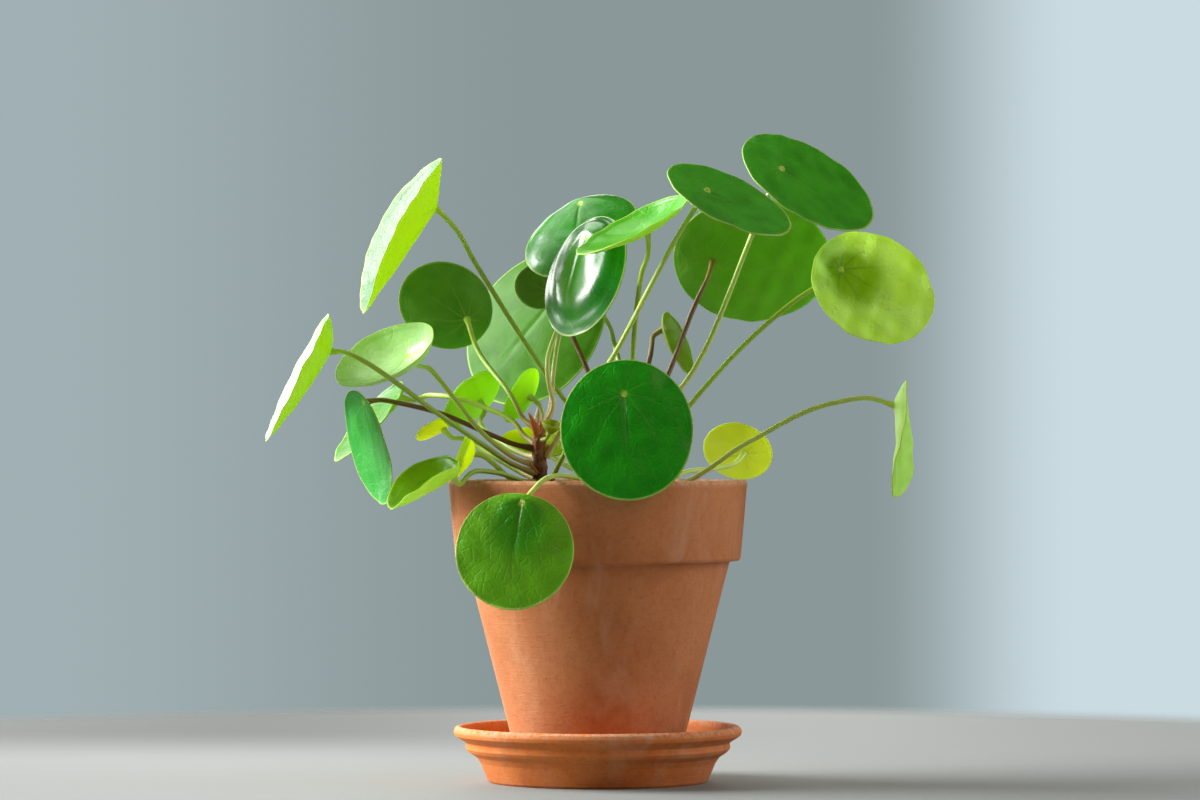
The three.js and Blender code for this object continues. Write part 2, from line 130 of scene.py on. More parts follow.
class Graph:
    """A node tree, for a material or for geometry, with one way to add a node."""

    def __init__(self, tree):
        self.tree = tree

    def node(self, kind, settings=None, sockets=None):
        """Adds a node: its settings first, then the value or the wire of each socket, by name or place."""
        made = self.tree.nodes.new(kind)
        for name, value in (settings or {}).items():
            setattr(made, name, value)
        usable = [s for s in made.inputs if s.enabled]
        for name, value in (sockets or {}).items():
            socket = usable[name] if isinstance(name, int) else next(s for s in usable if s.name == name)
            if isinstance(value, Wire):
                self.tree.links.new(value.socket, socket)
            else:
                socket.default_value = (*value, 1.0) if socket.type == "RGBA" else value
        shown = [s for s in made.outputs if s.enabled]
        return Wire(self, shown[0]) if shown else made

    def math(self, operation, *values):
        return self.node("ShaderNodeMath", {"operation": operation}, dict(enumerate(values)))

    def vector(self, operation, *values):
        return self.node("ShaderNodeVectorMath", {"operation": operation}, dict(enumerate(values)))

    def scaled(self, vector, factors):
        return self.vector("MULTIPLY", vector, factors)

    def painted(self, colour, *layers):
        """A colour with other colours laid over it, each one by its own share."""
        for share, over in layers:
            sockets = {"Factor": share, "A": colour, "B": over}
            colour = self.node("ShaderNodeMix", {"data_type": "RGBA"}, sockets)
        return colour

    def ramp(self, value, low, high, to_low=0.0, to_high=1.0):
        """value carried smoothly from low..high to to_low..to_high."""
        settings = {"interpolation_type": "SMOOTHSTEP"}
        sockets = {"Value": value, "From Min": low, "From Max": high, "To Min": to_low, "To Max": to_high}
        return self.node("ShaderNodeMapRange", settings, sockets)

    def noise(self, vector, scale, detail=2.0, roughness=0.5, distortion=0.0):
        sockets = {"Vector": vector, "Scale": scale, "Detail": detail, "Roughness": roughness}
        sockets["Distortion"] = distortion
        return self.node("ShaderNodeTexNoise", None, sockets)

    def cells(self, vector, scale, feature="F1"):
        sockets = {"Vector": vector, "Scale": scale, "Randomness": 1.0}
        return self.node("ShaderNodeTexVoronoi", {"feature": feature}, sockets)

    def parts(self, vector):
        split = self.node("ShaderNodeSeparateXYZ", None, {"Vector": vector})
        return split.out("X"), split.out("Y"), split.out("Z")

    def combined(self, x, y, z):
        return self.node("ShaderNodeCombineXYZ", None, {"X": x, "Y": y, "Z": z})

    def attribute(self, name, output="Fac"):
        return self.node("ShaderNodeAttribute", {"attribute_name": name}).out(output)

    def place(self):
        """Object coordinates, which are the packed model's own, in metres."""
        return self.node("ShaderNodeTexCoord").out("Object")

    def bumped(self, height, distance, strength=1.0):
        sockets = {"Height": height, "Distance": distance, "Strength": strength}
        return self.node("ShaderNodeBump", None, sockets)

    def surface(self, colour, roughness, more):
        sockets = {"Base Color": colour, "Roughness": roughness, **more}
        return self.node("ShaderNodeBsdfPrincipled", None, sockets)

    def lit_through(self, share, solid, glow):
        """A surface that lets a share of the light through, in the colour glow."""
        thin = self.node("ShaderNodeBsdfTranslucent", None, {"Color": glow})
        return self.node("ShaderNodeMixShader", None, {0: share, 1: solid, 2: thin})


class Finish(Graph):
    """A new material's node tree."""

    def __init__(self, name):
        self.material = bpy.data.materials.new(name)
        self.material.use_nodes = True
        super().__init__(self.material.node_tree)
        self.tree.nodes.clear()

    def done(self, shader):
        self.node("ShaderNodeOutputMaterial", None, {"Surface": shader})
        return self.material


def new_tree(name, measures, counts):
    """A Geometry Nodes tree with inputs for its measures, counts and material, and a wire for each."""
    inputs = {"Geometry": "Geometry", "Material": "Material"}
    inputs.update(dict.fromkeys(measures, "Float"))
    inputs.update(dict.fromkeys(counts, "Int"))
    tree = bpy.data.node_groups.new(name, "GeometryNodeTree")
    for label, kind in inputs.items():
        tree.interface.new_socket(label, in_out="INPUT", socket_type=f"NodeSocket{kind}")
    tree.interface.new_socket("Geometry", in_out="OUTPUT", socket_type="NodeSocketGeometry")
    graph = Graph(tree)
    given = graph.node("NodeGroupInput")
    return tree, graph, {label: given.out(label) for label in inputs}


def close_tree(graph, geometry, material):
    real = graph.node("GeometryNodeRealizeInstances", None, {"Geometry": geometry})
    painted = graph.node("GeometryNodeSetMaterial", None, {"Geometry": real, "Material": material})
    graph.node("NodeGroupOutput", None, {"Geometry": painted})


# ---- pieces ----
def new_piece(name, mesh):
    piece = bpy.data.objects.new(name, mesh)
    bpy.context.scene.collection.objects.link(piece)
    return piece


def mesh_of(name, points, faces=(), edges=()):
    mesh = bpy.data.meshes.new(name)
    mesh.from_pydata([tuple(p) for p in points], list(edges), [tuple(f) for f in faces])
    mesh.update()
    return mesh


def ring_faces(around, levels):
    """The four-sided faces between closed rings of points that follow one another."""
    faces = []
    for start in range(0, around * (levels - 1), around):
        for i in range(around):
            after = (i + 1) % around
            faces.append((start + i, start + around + i, start + around + after, start + after))
    return faces


def shell_faces(around, levels):
    """Faces of a closed shell, whose points are its rings in order, its first pole and its last pole."""
    first_pole = around * levels
    last = around * (levels - 1)
    turns = [(i, (i + 1) % around) for i in range(around)]
    first_fan = [(first_pole, i, after) for i, after in turns]
    last_fan = [(first_pole + 1, last + after, last + i) for i, after in turns]
    return first_fan + ring_faces(around, levels) + last_fan


def closed_outward(mesh):
    """Merges a closed mesh's doubles and points its faces outwards."""
    shell = bmesh.new()
    shell.from_mesh(mesh)
    bmesh.ops.remove_doubles(shell, verts=shell.verts, dist=SAME_POINT)
    bmesh.ops.recalc_face_normals(shell, faces=shell.faces)
    shell.to_mesh(mesh)
    shell.free()
    return mesh


def smooth_piece(mesh, material):
    """A closed mesh as a smooth piece of the same name, with its finish."""
    mesh.shade_smooth()
    piece = new_piece(mesh.name, closed_outward(mesh))
    piece.data.materials.append(material)
    return piece


def store(mesh, name, kind, values):
    """Keeps one value for each corner point of the mesh, for its material to read."""
    layer = mesh.attributes.new(name, kind, "POINT")
    field = "vector" if kind == "FLOAT_VECTOR" else "value"
    layer.data.foreach_set(field, np.asarray(values, np.float32).ravel())


def grown(name, source, tree, inputs):
    """Runs a Geometry Nodes tree on a source mesh and keeps its result as a plain closed piece."""
    holder = new_piece(f"{name}_source", source)
    modifier = holder.modifiers.new("growth", "NODES")
    modifier.node_group = tree
    sockets = {item.name: item.identifier for item in tree.interface.items_tree if item.in_out == "INPUT"}
    for label, value in inputs.items():
        modifier[sockets[label]] = value
    scene = bpy.context.evaluated_depsgraph_get()
    mesh = bpy.data.meshes.new_from_object(holder.evaluated_get(scene), depsgraph=scene)
    holder.modifiers.remove(modifier)
    bpy.data.objects.remove(holder)
    mesh.name = name
    return new_piece(name, closed_outward(mesh))


def settle(piece, slot, *nodes):
    """Says what a finished piece rides on and hides the packed nodes it stands for; its slot is not used."""
    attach(piece, BODY)
    if nodes:
        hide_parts(*nodes)


# ---- reading the packed model ----
def joined_points(node):
    """A packed node's points without their doubles, and the points that each one is joined to."""
    shell = bmesh.new()
    shell.from_mesh(NODES[node].data)
    bmesh.ops.remove_doubles(shell, verts=shell.verts, dist=SAME_POINT)
    shell.verts.index_update()
    points = np.array([corner.co for corner in shell.verts])
    joined = [{edge.other_vert(corner).index for edge in corner.link_edges} for corner in shell.verts]
    shell.free()
    return points, joined


def rings_round(start, joined, count):
    """The points one, two and more edges away from a start point."""
    seen = {start}
    level = [start]
    rings = []
    for _ in range(count):
        level = sorted({near for point in level for near in joined[point]} - seen)
        seen.update(level)
        rings.append(level)
    return rings


def half_profile(node):
    """The outline of a turned node: its corners in the half plane of +X, in order, as radius and height."""
    points, joined = joined_points(node)
    radius = np.hypot(points[:, 0], points[:, 1])
    flat = np.abs(points[:, 1]) < SAME_POINT
    in_plane = {i for i in range(len(points)) if flat[i] and points[i, 0] > -SAME_POINT}
    beside = {i: [j for j in joined[i] if j in in_plane] for i in in_plane}
    ends = [i for i in in_plane if radius[i] < SAME_POINT]
    path = [min(ends, key=lambda i: points[i, 2]) if ends else min(in_plane, key=lambda i: points[i, 2])]
    while len(path) < len(in_plane):
        fresh = [j for j in beside[path[-1]] if j not in path]
        if not fresh:
            break
        last = points[path[-1]]
        path.append(min(fresh, key=lambda j: np.linalg.norm(points[j] - last)))
    return [(radius[i], points[i, 2]) for i in path], not ends


def stem_rings(node):
    """A stem's level rings of corners, from the bottom up, as middle point and radius."""
    points, _ = joined_points(node)
    levels = sorted({round(z, 6) for z in points[:, 2]})
    rings = []
    for level in levels:
        ring = points[np.abs(points[:, 2] - level) < SAME_POINT]
        if len(ring) > 3:
            middle = (ring.max(0) + ring.min(0)) / 2
            rings.append((middle, np.linalg.norm(ring - middle, axis=1).max()))
    return rings


RING_CORNERS = 6
SAMPLED_RINGS = 6
LONGEST_RING_EDGE = 1.3  # in radii


def centre_line(node, blade_spot):
    """A stalk's centre line and radius. Its rings are the groups of corners joined by the shortest edges."""
    points, joined = joined_points(node)
    edges = [(i, j) for i in range(len(points)) for j in joined[i] if i < j]
    lengths = {edge: np.linalg.norm(points[edge[0]] - points[edge[1]]) for edge in edges}
    radius = float(np.median(sorted(lengths.values())[: RING_CORNERS * SAMPLED_RINGS]))
    group = list(range(len(points)))

    def root(i):
        while group[i] != i:
            i = group[i]
        return i

    for edge in sorted(edges, key=lengths.get):
        first, second = root(edge[0]), root(edge[1])
        together = sum(root(i) in (first, second) for i in range(len(points)))
        if first != second and lengths[edge] < radius * LONGEST_RING_EDGE and together <= RING_CORNERS:
            group[second] = first
    roots = sorted({root(i) for i in range(len(points))})
    if len(roots) * RING_CORNERS != len(points):
        return short_line(points, blade_spot), radius
    middles = {r: points[[i for i in range(len(points)) if root(i) == r]].mean(0) for r in roots}
    beside = {r: set() for r in roots}
    for i, j in edges:
        if root(i) != root(j):
            beside[root(i)].add(root(j))
            beside[root(j)].add(root(i))
    ends = [r for r in roots if len(beside[r]) == 1]
    path = [max(ends, key=lambda r: np.linalg.norm(middles[r] - blade_spot))]
    while len(path) < len(roots):
        path.append(next(r for r in beside[path[-1]] if r not in path))
    return np.array([middles[r] for r in path]), radius


def short_line(points, blade_spot):
    """The line of a stalk too short and bent for its rings to be told apart, from its foot to its middle."""
    away = np.linalg.norm(points - blade_spot, axis=1)
    foot = points[np.argsort(away)[-RING_CORNERS:]].mean(0)
    return np.array([foot, blended(foot, points.mean(0), 0.5), points.mean(0)])


class Blade:
    """A packed leaf blade: its spot, its own axes, its outline and its height over the spot's plane."""

    def __init__(self, node, neighbour, around):
        points, joined = joined_points(node)
        poles = sorted(range(len(points)), key=lambda i: len(joined[i]))[-2:]
        beside = np.array([v.co for v in NODES[neighbour].data.vertices])
        poles.sort(key=lambda i: np.linalg.norm(beside - points[i], axis=1).min())
        under, spot = poles
        self.spot = points[spot]
        self.thickness = np.linalg.norm(self.spot - points[under])
        self.facing = (self.spot - points[under]) / self.thickness
        rings = rings_round(spot, joined, 3)
        forward = points[rings[2]].mean(0) - self.spot
        forward -= self.facing * forward.dot(self.facing)
        self.along = forward / np.linalg.norm(forward)
        self.across = np.cross(self.facing, self.along)
        local = [self.ordered((points[ring] - self.spot) @ self.axes().T) for ring in rings]
        reach = [np.linalg.norm(ring[:, :2], axis=1).mean() for ring in local]
        self.shares = np.array([0.0, *(r / reach[2] for r in reach)])
        self.outline = round_the_rim(local[2][:, :2], around)
        heights = [round_the_rim(ring[:, 2:], around)[:, 0] for ring in local]
        self.heights = np.array([np.zeros(around), *heights])
        self.size = np.linalg.norm(self.outline, axis=1).max() * 2

    def axes(self):
        return np.array([self.along, self.across, self.facing])

    def ordered(self, ring):
        """A ring's points from the tip round."""
        quarter_step = TAU / len(ring) / 4
        turn = (np.arctan2(ring[:, 1], ring[:, 0]) + quarter_step) % TAU
        return ring[np.argsort(turn)]

    def height(self, shares):
        """Height of the upper side at shares of the way to the rim: the curve through the packed rings."""
        total = 0
        for i, known in enumerate(self.shares):
            others = np.delete(self.shares, i)
            weight = np.prod([(shares - other) / (known - other) for other in others], axis=0)
            total = total + np.outer(weight, self.heights[i])
        return total

    def in_frame(self, x, y, height):
        return self.spot + np.stack([x, y, height], axis=-1) @ self.axes()


def round_the_rim(values, count):
    """Values at equal steps round a blade, filled in smoothly to count steps."""
    waves = np.fft.rfft(values, axis=0)
    if len(values) % 2 == 0:
        waves[-1] *= 0.5
    return np.fft.irfft(waves, count, axis=0) * (count / len(values))


# ---- terracotta ----
def clay_material(name, clay, pale, deep, low, high):
    """Unglazed fired clay: mottling, faint turning rings, wiped mineral bloom, pits with painted shade in
    them, and paler worn edges.
    """
    graph = Finish(name)
    place = graph.place()
    _, _, z = graph.parts(place)
    clouds = graph.noise(place, 22, 4, 0.6)
    patches = graph.noise(graph.scaled(place, (1, 1, 0.35)), 60, 3, 0.6, 0.6)
    grain = graph.noise(place, 1400, 2, 0.7)
    sand = graph.noise(place, 420, 3, 0.75)
    turning = graph.noise(graph.scaled(place, (0.06, 0.06, 1)), 1500, 2, 0.6)
    wipes = graph.noise(graph.scaled(place, (1, 1, 0.12)), 90, 3, 0.6, 0.4)
    pit = graph.ramp(graph.cells(place, 330), 0.11, 0.04)
    bloom = graph.ramp(patches, 0.45, 0.75) * graph.ramp(clouds, 0.3, 0.65)
    bloom = bloom + graph.ramp(wipes, 0.55, 0.8) * 0.15
    rim = graph.ramp(z, high - 3.5 * MM, high - 0.4 * MM) * graph.ramp(sand, 0.35, 0.6)
    foot = graph.ramp(z, low + 16 * MM, low) * graph.ramp(clouds, 0.25, 0.6)
    colour = graph.painted(
        clay,
        (graph.ramp(clouds, 0.3, 0.7), blended(clay, deep, 0.45)),
        (graph.ramp(sand, 0.42, 0.75) * 0.35, deep),
        (bloom * 0.26, pale),
        (rim * 0.5, pale),
        (foot * 0.4, deep),
        # painted shade: the pits, sunk in the bump below, are also darkened towards black
        (pit * 0.35, blended(deep, (0.02, 0.01, 0.005), 0.5)),
    )
    height = grain * 0.3 + sand * 0.6 + turning * 0.5 - pit * 0.7
    roughness = 0.92 - bloom * 0.08 - graph.ramp(sand, 0.3, 0.7) * 0.1
    more = {"Specular IOR Level": 0.3, "Normal": graph.bumped(height, 0.35 * MM, 0.8)}
    return graph.done(graph.surface(colour, roughness, more))


def turned_tree():
    """Turns an outline round the Z axis, rounds its edges and gives it the slight waviness of fired clay."""
    measures = ["Path Radius", "Edge Radius", "Waviness"]
    tree, graph, given = new_tree("turned_clay", measures, ["Segments"])
    outline = graph.node("GeometryNodeMeshToCurve", None, {"Mesh": given["Geometry"]})
    fillet = {"Curve": outline, "Count": 3, "Radius": given["Edge Radius"], "Limit Radius": True}
    rounded = graph.node("GeometryNodeFilletCurve", {"mode": "POLY"}, fillet)
    path_sockets = {"Resolution": given["Segments"], "Radius": given["Path Radius"]}
    path = graph.node("GeometryNodeCurvePrimitiveCircle", None, path_sockets)
    body = graph.node("GeometryNodeCurveToMesh", None, {"Curve": path, "Profile Curve": rounded})
    closed = graph.node("GeometryNodeMergeByDistance", None, {"Geometry": body, "Distance": SAME_POINT})
    position = graph.node("GeometryNodeInputPosition")
    swirl = graph.noise(graph.scaled(position, (1, 1, 2.2)), 24, 1.5)
    outwards = graph.vector("NORMALIZE", graph.scaled(position, (1, 1, 0)))
    offset = graph.vector("SCALE", outwards, (swirl - 0.5) * given["Waviness"])
    waved = graph.node("GeometryNodeSetPosition", None, {"Geometry": closed, "Offset": offset})
    smooth = graph.node("GeometryNodeSetShadeSmooth", None, {"Geometry": waved})
    close_tree(graph, smooth, given["Material"])
    return tree


def turned_piece(name, node, slot, material, settings):
    outline, is_loop = half_profile(node)
    path_radius = max(radius for radius, _ in outline)
    points = [(radius - path_radius, -height, 0) for radius, height in outline]
    edges = [(i, i + 1) for i in range(len(points) - 1)]
    if is_loop:
        edges.append((len(points) - 1, 0))
    inputs = {
        "Path Radius": path_radius,
        "Segments": settings.segments,
        "Edge Radius": settings.edge_radius,
        "Waviness": settings.waviness,
        "Material": material,
    }
    settle(grown(name, mesh_of(name, points, edges=edges), turned_tree(), inputs), slot, node)


# ---- soil ----
BED_RINGS = 40
BED_STEPS = 128
SCATTER_SHARE = 0.94
SCATTER_DEPTH = 12 * MM


def soil_material(name, dark, light, scale):
    """Peat: dark crumbs with paler fibres and a strong small relief."""
    graph = Finish(name)
    place = graph.place()
    lumps = graph.noise(place, scale, 4, 0.7)
    crumbs = graph.cells(place, scale * 4)
    fibres = graph.noise(graph.scaled(place, (1, 5, 1)), scale * 3, 3, 0.7, 1.5)
    colour = graph.painted(
        dark,
        (graph.ramp(lumps, 0.35, 0.7), light),
        (graph.ramp(fibres, 0.6, 0.72) * 0.5, blended(light, (0.35, 0.22, 0.12), 0.5)),
    )
    normal = graph.bumped(lumps * 0.8 + (1 - crumbs) * 0.6, 0.8 * MM)
    return graph.done(graph.surface(colour, graph.ramp(lumps, 0.2, 0.8, 0.95, 0.75), {"Normal": normal}))


def grains_tree():
    """Scatters small rough grains over a bed and turns and sizes each one at random."""
    tree, graph, given = new_tree("soil_grains", ["Density", "Grain Size", "Flatness"], ["Seed"])
    spread = {"Mesh": given["Geometry"], "Density": given["Density"], "Seed": given["Seed"]}
    spots = graph.node("GeometryNodeDistributePointsOnFaces", None, spread)
    grain = graph.node("GeometryNodeMeshIcoSphere", None, {"Radius": 1.0, "Subdivisions": 2})
    position = graph.node("GeometryNodeInputPosition")
    push = graph.vector("SCALE", position, (graph.noise(position, 1.3, 1) - 0.5) * 1.2)
    rough = graph.node("GeometryNodeSetPosition", None, {"Geometry": grain, "Offset": push})
    turn_range = {"Min": (0, 0, 0), "Max": (TAU, TAU, TAU), "Seed": given["Seed"]}
    turn = graph.node("FunctionNodeRandomValue", {"data_type": "FLOAT_VECTOR"}, turn_range)
    turned = graph.node("FunctionNodeEulerToRotation", None, {"Euler": turn})
    size_range = {"Min": 0.35, "Max": 1.0, "Seed": given["Seed"] + 7}
    size = graph.node("FunctionNodeRandomValue", {"data_type": "FLOAT"}, size_range) * given["Grain Size"]
    scale = graph.combined(size, size * 0.8, size * given["Flatness"])
    sockets = {"Points": spots.out("Points"), "Instance": rough, "Rotation": turned, "Scale": scale}
    laid = graph.node("GeometryNodeInstanceOnPoints", None, sockets)
    close_tree(graph, laid, given["Material"])
    return tree


def soil_surface(settings):
    """The bed's radius and height at its edge, and its height at a point of the surface."""
    points, _ = joined_points("soil")
    radius = np.hypot(points[:, 0], points[:, 1])
    rim_radius, rim_height = radius.max(), points[np.argmax(radius)][2]

    def height(x, y):
        mound = 1.2 * MM * (1 - (x * x + y * y) / rim_radius**2)
        lumps = noise.fractal(Vector((x, y, 0)) * 70, 0.9, 2.1, 4)
        return rim_height + mound + settings.lump_height * lumps

    return rim_radius, rim_height, height


def make_soil_bed(settings, material):
    rim_radius, rim_height, height = soil_surface(settings)
    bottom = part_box("soil")[0].z
    points = []
    for ring in range(1, BED_RINGS + 1):
        radius = rim_radius * ring / BED_RINGS
        points += [(radius * x, radius * y, height(radius * x, radius * y)) for x, y in circle(BED_STEPS)]
    underside = [(1.0, rim_height - 8 * MM), (0.74, (rim_height + bottom) / 2), (0.42, bottom)]
    for share, z in underside:
        points += [(rim_radius * share * x, rim_radius * share * y, z) for x, y in circle(BED_STEPS)]
    points += [(0, 0, height(0, 0)), (0, 0, bottom)]
    faces = shell_faces(BED_STEPS, BED_RINGS + len(underside))
    return smooth_piece(mesh_of("soil_bed", points, faces), material)


def scatter_bed(bed):
    """A copy of the bed's top, a little smaller, for grains to lie on."""
    shell = bmesh.new()
    shell.from_mesh(bed.data)
    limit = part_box("soil")[1].x * SCATTER_SHARE
    level = max(v.co.z for v in shell.verts) - SCATTER_DEPTH
    outside = [v for v in shell.verts if math.hypot(v.co.x, v.co.y) > limit or v.co.z < level]
    bmesh.ops.delete(shell, geom=outside, context="VERTS")
    mesh = bpy.data.meshes.new("grain_bed")
    shell.to_mesh(mesh)
    shell.free()
    return mesh


# ---- bark and scales ----
BARK_STEPS = 56
BARK_LEVELS = 150
SCALE_ROWS = 24
SCALE_STEPS = 10
SCALE_THICKNESS = 0.22 * MM

# Scales and sheaths on the stems: stem, distance under its top, degrees round it, length, width, outward
# bend and lean. Distances are in millimetres. A scale is dry and a sheath is fresh.
SCALES = {
    "scale_left": ("main_stem", 9, 235, 13, 4.4, 1.6, 0.35),
    "scale_upper": ("main_stem", 7, 285, 9, 3.6, 0.4, 0.12),
    "scale_low": ("main_stem", 24, 215, 8, 4, 1.2, 0.3),
    "scale_right": ("main_stem", 17, 330, 7, 3.6, 1.0, 0.25),
    "scale_back": ("main_stem", 13, 80, 8, 4, 1.0, 0.25),
    "sheath_front": ("main_stem", 2, 265, 9, 4, -0.5, 0.02),
    "sheath_back": ("main_stem", 2.5, 100, 8, 4, -0.4, 0.02),
    "side_scale_front": ("side_stem", 8, 250, 9, 4.2, 0.8, 0.2),
    "side_scale_back": ("side_stem", 12, 70, 9, 4.2, 1.0, 0.25),
    "side_sheath": ("side_stem", 2, 300, 8, 4, -0.4, 0.02),
    "side_sheath_back": ("side_stem", 2, 140, 8, 4, -0.4, 0.02),
}


def bark_material(name, low, high, dark, warm):
    """Young bark: nearly black at the foot, orange-brown higher up, with lengthwise cracks."""
    graph = Finish(name)
    place = graph.place()
    _, _, z = graph.parts(place)
    streaks = graph.noise(graph.scaled(place, (1, 1, 0.25)), 1100, 4, 0.7)
    blotches = graph.noise(place, 260, 3, 0.6)
    colour = graph.painted(
        dark,
        (graph.ramp(z + (blotches - 0.5) * 18 * MM, low, high), warm),
        (graph.ramp(streaks, 0.5, 0.66) * 0.75, blended(dark, (0, 0, 0), 0.5)),
        (graph.ramp(blotches, 0.6, 0.75) * 0.4, blended(warm, (0.6, 0.45, 0.3), 0.4)),
    )
    normal = graph.bumped(streaks + blotches * 0.7, 0.5 * MM)
    return graph.done(graph.surface(colour, graph.ramp(streaks, 0.3, 0.7, 0.6, 0.9), {"Normal": normal}))


def bark_stem(name, node, material, settings, seed):
    """A stem turned round the packed one's rings, with raised leaf scars and rough bark."""
    rings = stem_rings(node)
    middles = np.array([middle for middle, _ in rings])
    radii = np.array([radius for _, radius in rings])
    heights = middles[:, 2]
    soil_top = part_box("soil")[1].z
    points = []
    for z in np.linspace(heights[0], heights[-1], BARK_LEVELS):
        middle_x, middle_y, radius = (np.interp(z, heights, known) for known in (*middles.T[:2], radii))
        collar = 0.8 * MM * math.exp(-(((z - soil_top) / (4 * MM)) ** 2))
        for x, y in circle(BARK_STEPS):
            knots = noise.noise(Vector((x, y, z / (5 * MM))) * 1.1 + Vector((seed, 0, 0)))
            cracks = noise.noise(Vector((x * 4, y * 4, z / (3 * MM))) + Vector((0, seed, 0)))
            spread = radius + settings.bark_relief * (0.8 * knots + 0.5 * cracks) + collar
            points.append((middle_x + x * spread, middle_y + y * spread, z))
    points.append(middles[0])
    points.append((*middles[-1][:2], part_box(node)[1].z))
    mesh = mesh_of(name, points, shell_faces(BARK_STEPS, BARK_LEVELS))
    settle(smooth_piece(mesh, material), "bark", node)


def scale_material(name, colour, tip_colour):
    """A dry papery scale: fine lengthwise fibres and a paler tip."""
    graph = Finish(name)
    share = graph.attribute("scale_share")
    fibres = graph.noise(graph.scaled(graph.place(), (1, 1, 0.3)), 1600, 3, 0.6)
    base = graph.painted(
        colour,
        (graph.ramp(share, 0.2, 1.0), tip_colour),
        (graph.ramp(fibres, 0.45, 0.7) * 0.5, blended(colour, (0.05, 0.02, 0.01), 0.5)),
    )
    more = {"Normal": graph.bumped(fibres, 0.3 * MM)}
    solid = graph.surface(base, graph.ramp(fibres, 0.3, 0.7, 0.45, 0.7), more)
    return graph.done(graph.lit_through(0.25, solid, tip_colour))


def papery_scale(name, foot, rise, outward, length, width, curl, material):
    """A narrow pointed scale, hollow towards the stem and bent at its tip, with a thin rounded edge."""
    out = (outward - rise * outward.dot(rise)).normalized()
    side = rise.cross(out)
    steps = list(np.linspace(-1, 1, SCALE_STEPS + 1))
    section = [(over, 0) for over in steps] + [(over, SCALE_THICKNESS) for over in reversed(steps)]
    around = len(section)
    points, shares = [], []
    for share in np.linspace(0, 1, SCALE_ROWS + 1):
        half = width / 2 * (math.sin(math.pi * (0.12 + 0.88 * share) ** 0.75) ** 0.8 + 0.02)
        for over, thickness in section:
            hollow = -0.45 * width * over * over * (1 - share * 0.6)
            depth = hollow + curl * share * share - thickness * (1 - abs(over) ** 3)
            points.append(foot + rise * length * share + side * half * over + out * depth)
            shares.append(share)
    faces = ring_faces(around, SCALE_ROWS + 1)
    for start in (0, around * SCALE_ROWS):
        for j in range(SCALE_STEPS):
            opposite = start + around - 1 - j
            faces.append((start + j, start + j + 1, opposite - 1, opposite))
    mesh = mesh_of(name, points, faces)
    store(mesh, "scale_share", "FLOAT", shares)
    return smooth_piece(mesh, material)


# ---- stalks ----
STALK_STEP = 1.2 * MM
FEWEST_STALK_STEPS = 24

# Each stalk finish: its colour at the foot, in the middle and under the leaf.
STALK_FINISHES = {
    "petiole_green": ("#D8C090", "#B8D45C", "#CCE470"),
    "petiole_olive": ("#988840", "#9CC03C", "#C0DC54"),
    "petiole_brown": ("#64401C", "#785424", "#988C30"),
}


def stalk_material(name, base, middle, tip):
    """A fleshy stalk: colour from its foot to its leaf, fine lengthwise streaks and a soft gloss."""
    graph = Finish(name)
    share = graph.attribute("stalk_share")
    ring = graph.attribute("stalk_ring", "Vector")
    streaks = graph.noise(graph.scaled(ring, (1.4, 1.4, 0.03)), 3.0, 3, 0.6)
    patches = graph.noise(graph.scaled(ring, (0.4, 0.4, 0.05)), 2.0, 2, 0.5)
    colour = graph.painted(
        base,
        (graph.ramp(share, 0.0, 0.35), middle),
        (graph.ramp(share + (patches - 0.5) * 0.2, 0.7, 1.0), tip),
        (graph.ramp(streaks, 0.45, 0.7) * 0.35, blended(middle, base, 0.8)),
        (graph.ramp(patches, 0.5, 0.8) * 0.3, blended(middle, (1, 1, 0.8), 0.25)),
    )
    more = {
        "Subsurface Weight": 0.25,
        "Subsurface Radius": (1.0, 1.0, 0.3),
        "Subsurface Scale": 1.2 * MM,
        "Normal": graph.bumped(streaks, 0.15 * MM),
    }
    return graph.done(graph.surface(colour, graph.ramp(streaks, 0.3, 0.7, 0.3, 0.5), more))


def stalk_tree():
    """Sweeps a round section along a stalk's centre line, thicker at its foot and under its leaf."""
    measures = ["Radius", "Foot Swelling", "Leaf Swelling"]
    tree, graph, given = new_tree("leaf_stalk", measures, ["Sides", "Steps"])

    def read(name, kind="FLOAT"):
        return graph.node("GeometryNodeInputNamedAttribute", {"data_type": kind}, {"Name": name})

    def marked(geometry, name, value):
        settings = {"data_type": "FLOAT_VECTOR", "domain": "POINT"}
        sockets = {"Geometry": geometry, "Name": name, "Value": value}
        return graph.node("GeometryNodeStoreNamedAttribute", settings, sockets)

    line = graph.node("GeometryNodeMeshToCurve", None, {"Mesh": given["Geometry"]})
    curved = graph.node("GeometryNodeCurveSplineType", {"spline_type": "CATMULL_ROM"}, {"Curve": line})
    fine = graph.node("GeometryNodeSetSplineResolution", None, {"Geometry": curved, "Resolution": 12})
    spaced = graph.node("GeometryNodeResampleCurve", None, {"Curve": fine, "Count": given["Steps"]})
    from_foot = read("from_foot")
    foot = graph.ramp(from_foot, 0.0, 7 * MM, 1.0, 0.0) * given["Foot Swelling"]
    leaf = graph.ramp(read("to_leaf"), 0.0, 6 * MM, 1.0, 0.0) * given["Leaf Swelling"]
    radius = given["Radius"] * (1 + foot + leaf)
    section_sockets = {"Resolution": given["Sides"], "Radius": 1.0}
    section = graph.node("GeometryNodeCurvePrimitiveCircle", None, section_sockets)
    section = marked(section, "section_place", graph.node("GeometryNodeInputPosition"))
    sweep_sockets = {"Curve": spaced, "Profile Curve": section, "Scale": radius, "Fill Caps": True}
    swept = graph.node("GeometryNodeCurveToMesh", None, sweep_sockets)
    x, y, _ = graph.parts(read("section_place", "FLOAT_VECTOR"))
    ringed = marked(swept, "stalk_ring", graph.combined(x, y, from_foot / MM))
    smooth = graph.node("GeometryNodeSetShadeSmooth", None, {"Geometry": ringed})
    close_tree(graph, smooth, given["Material"])
    return tree


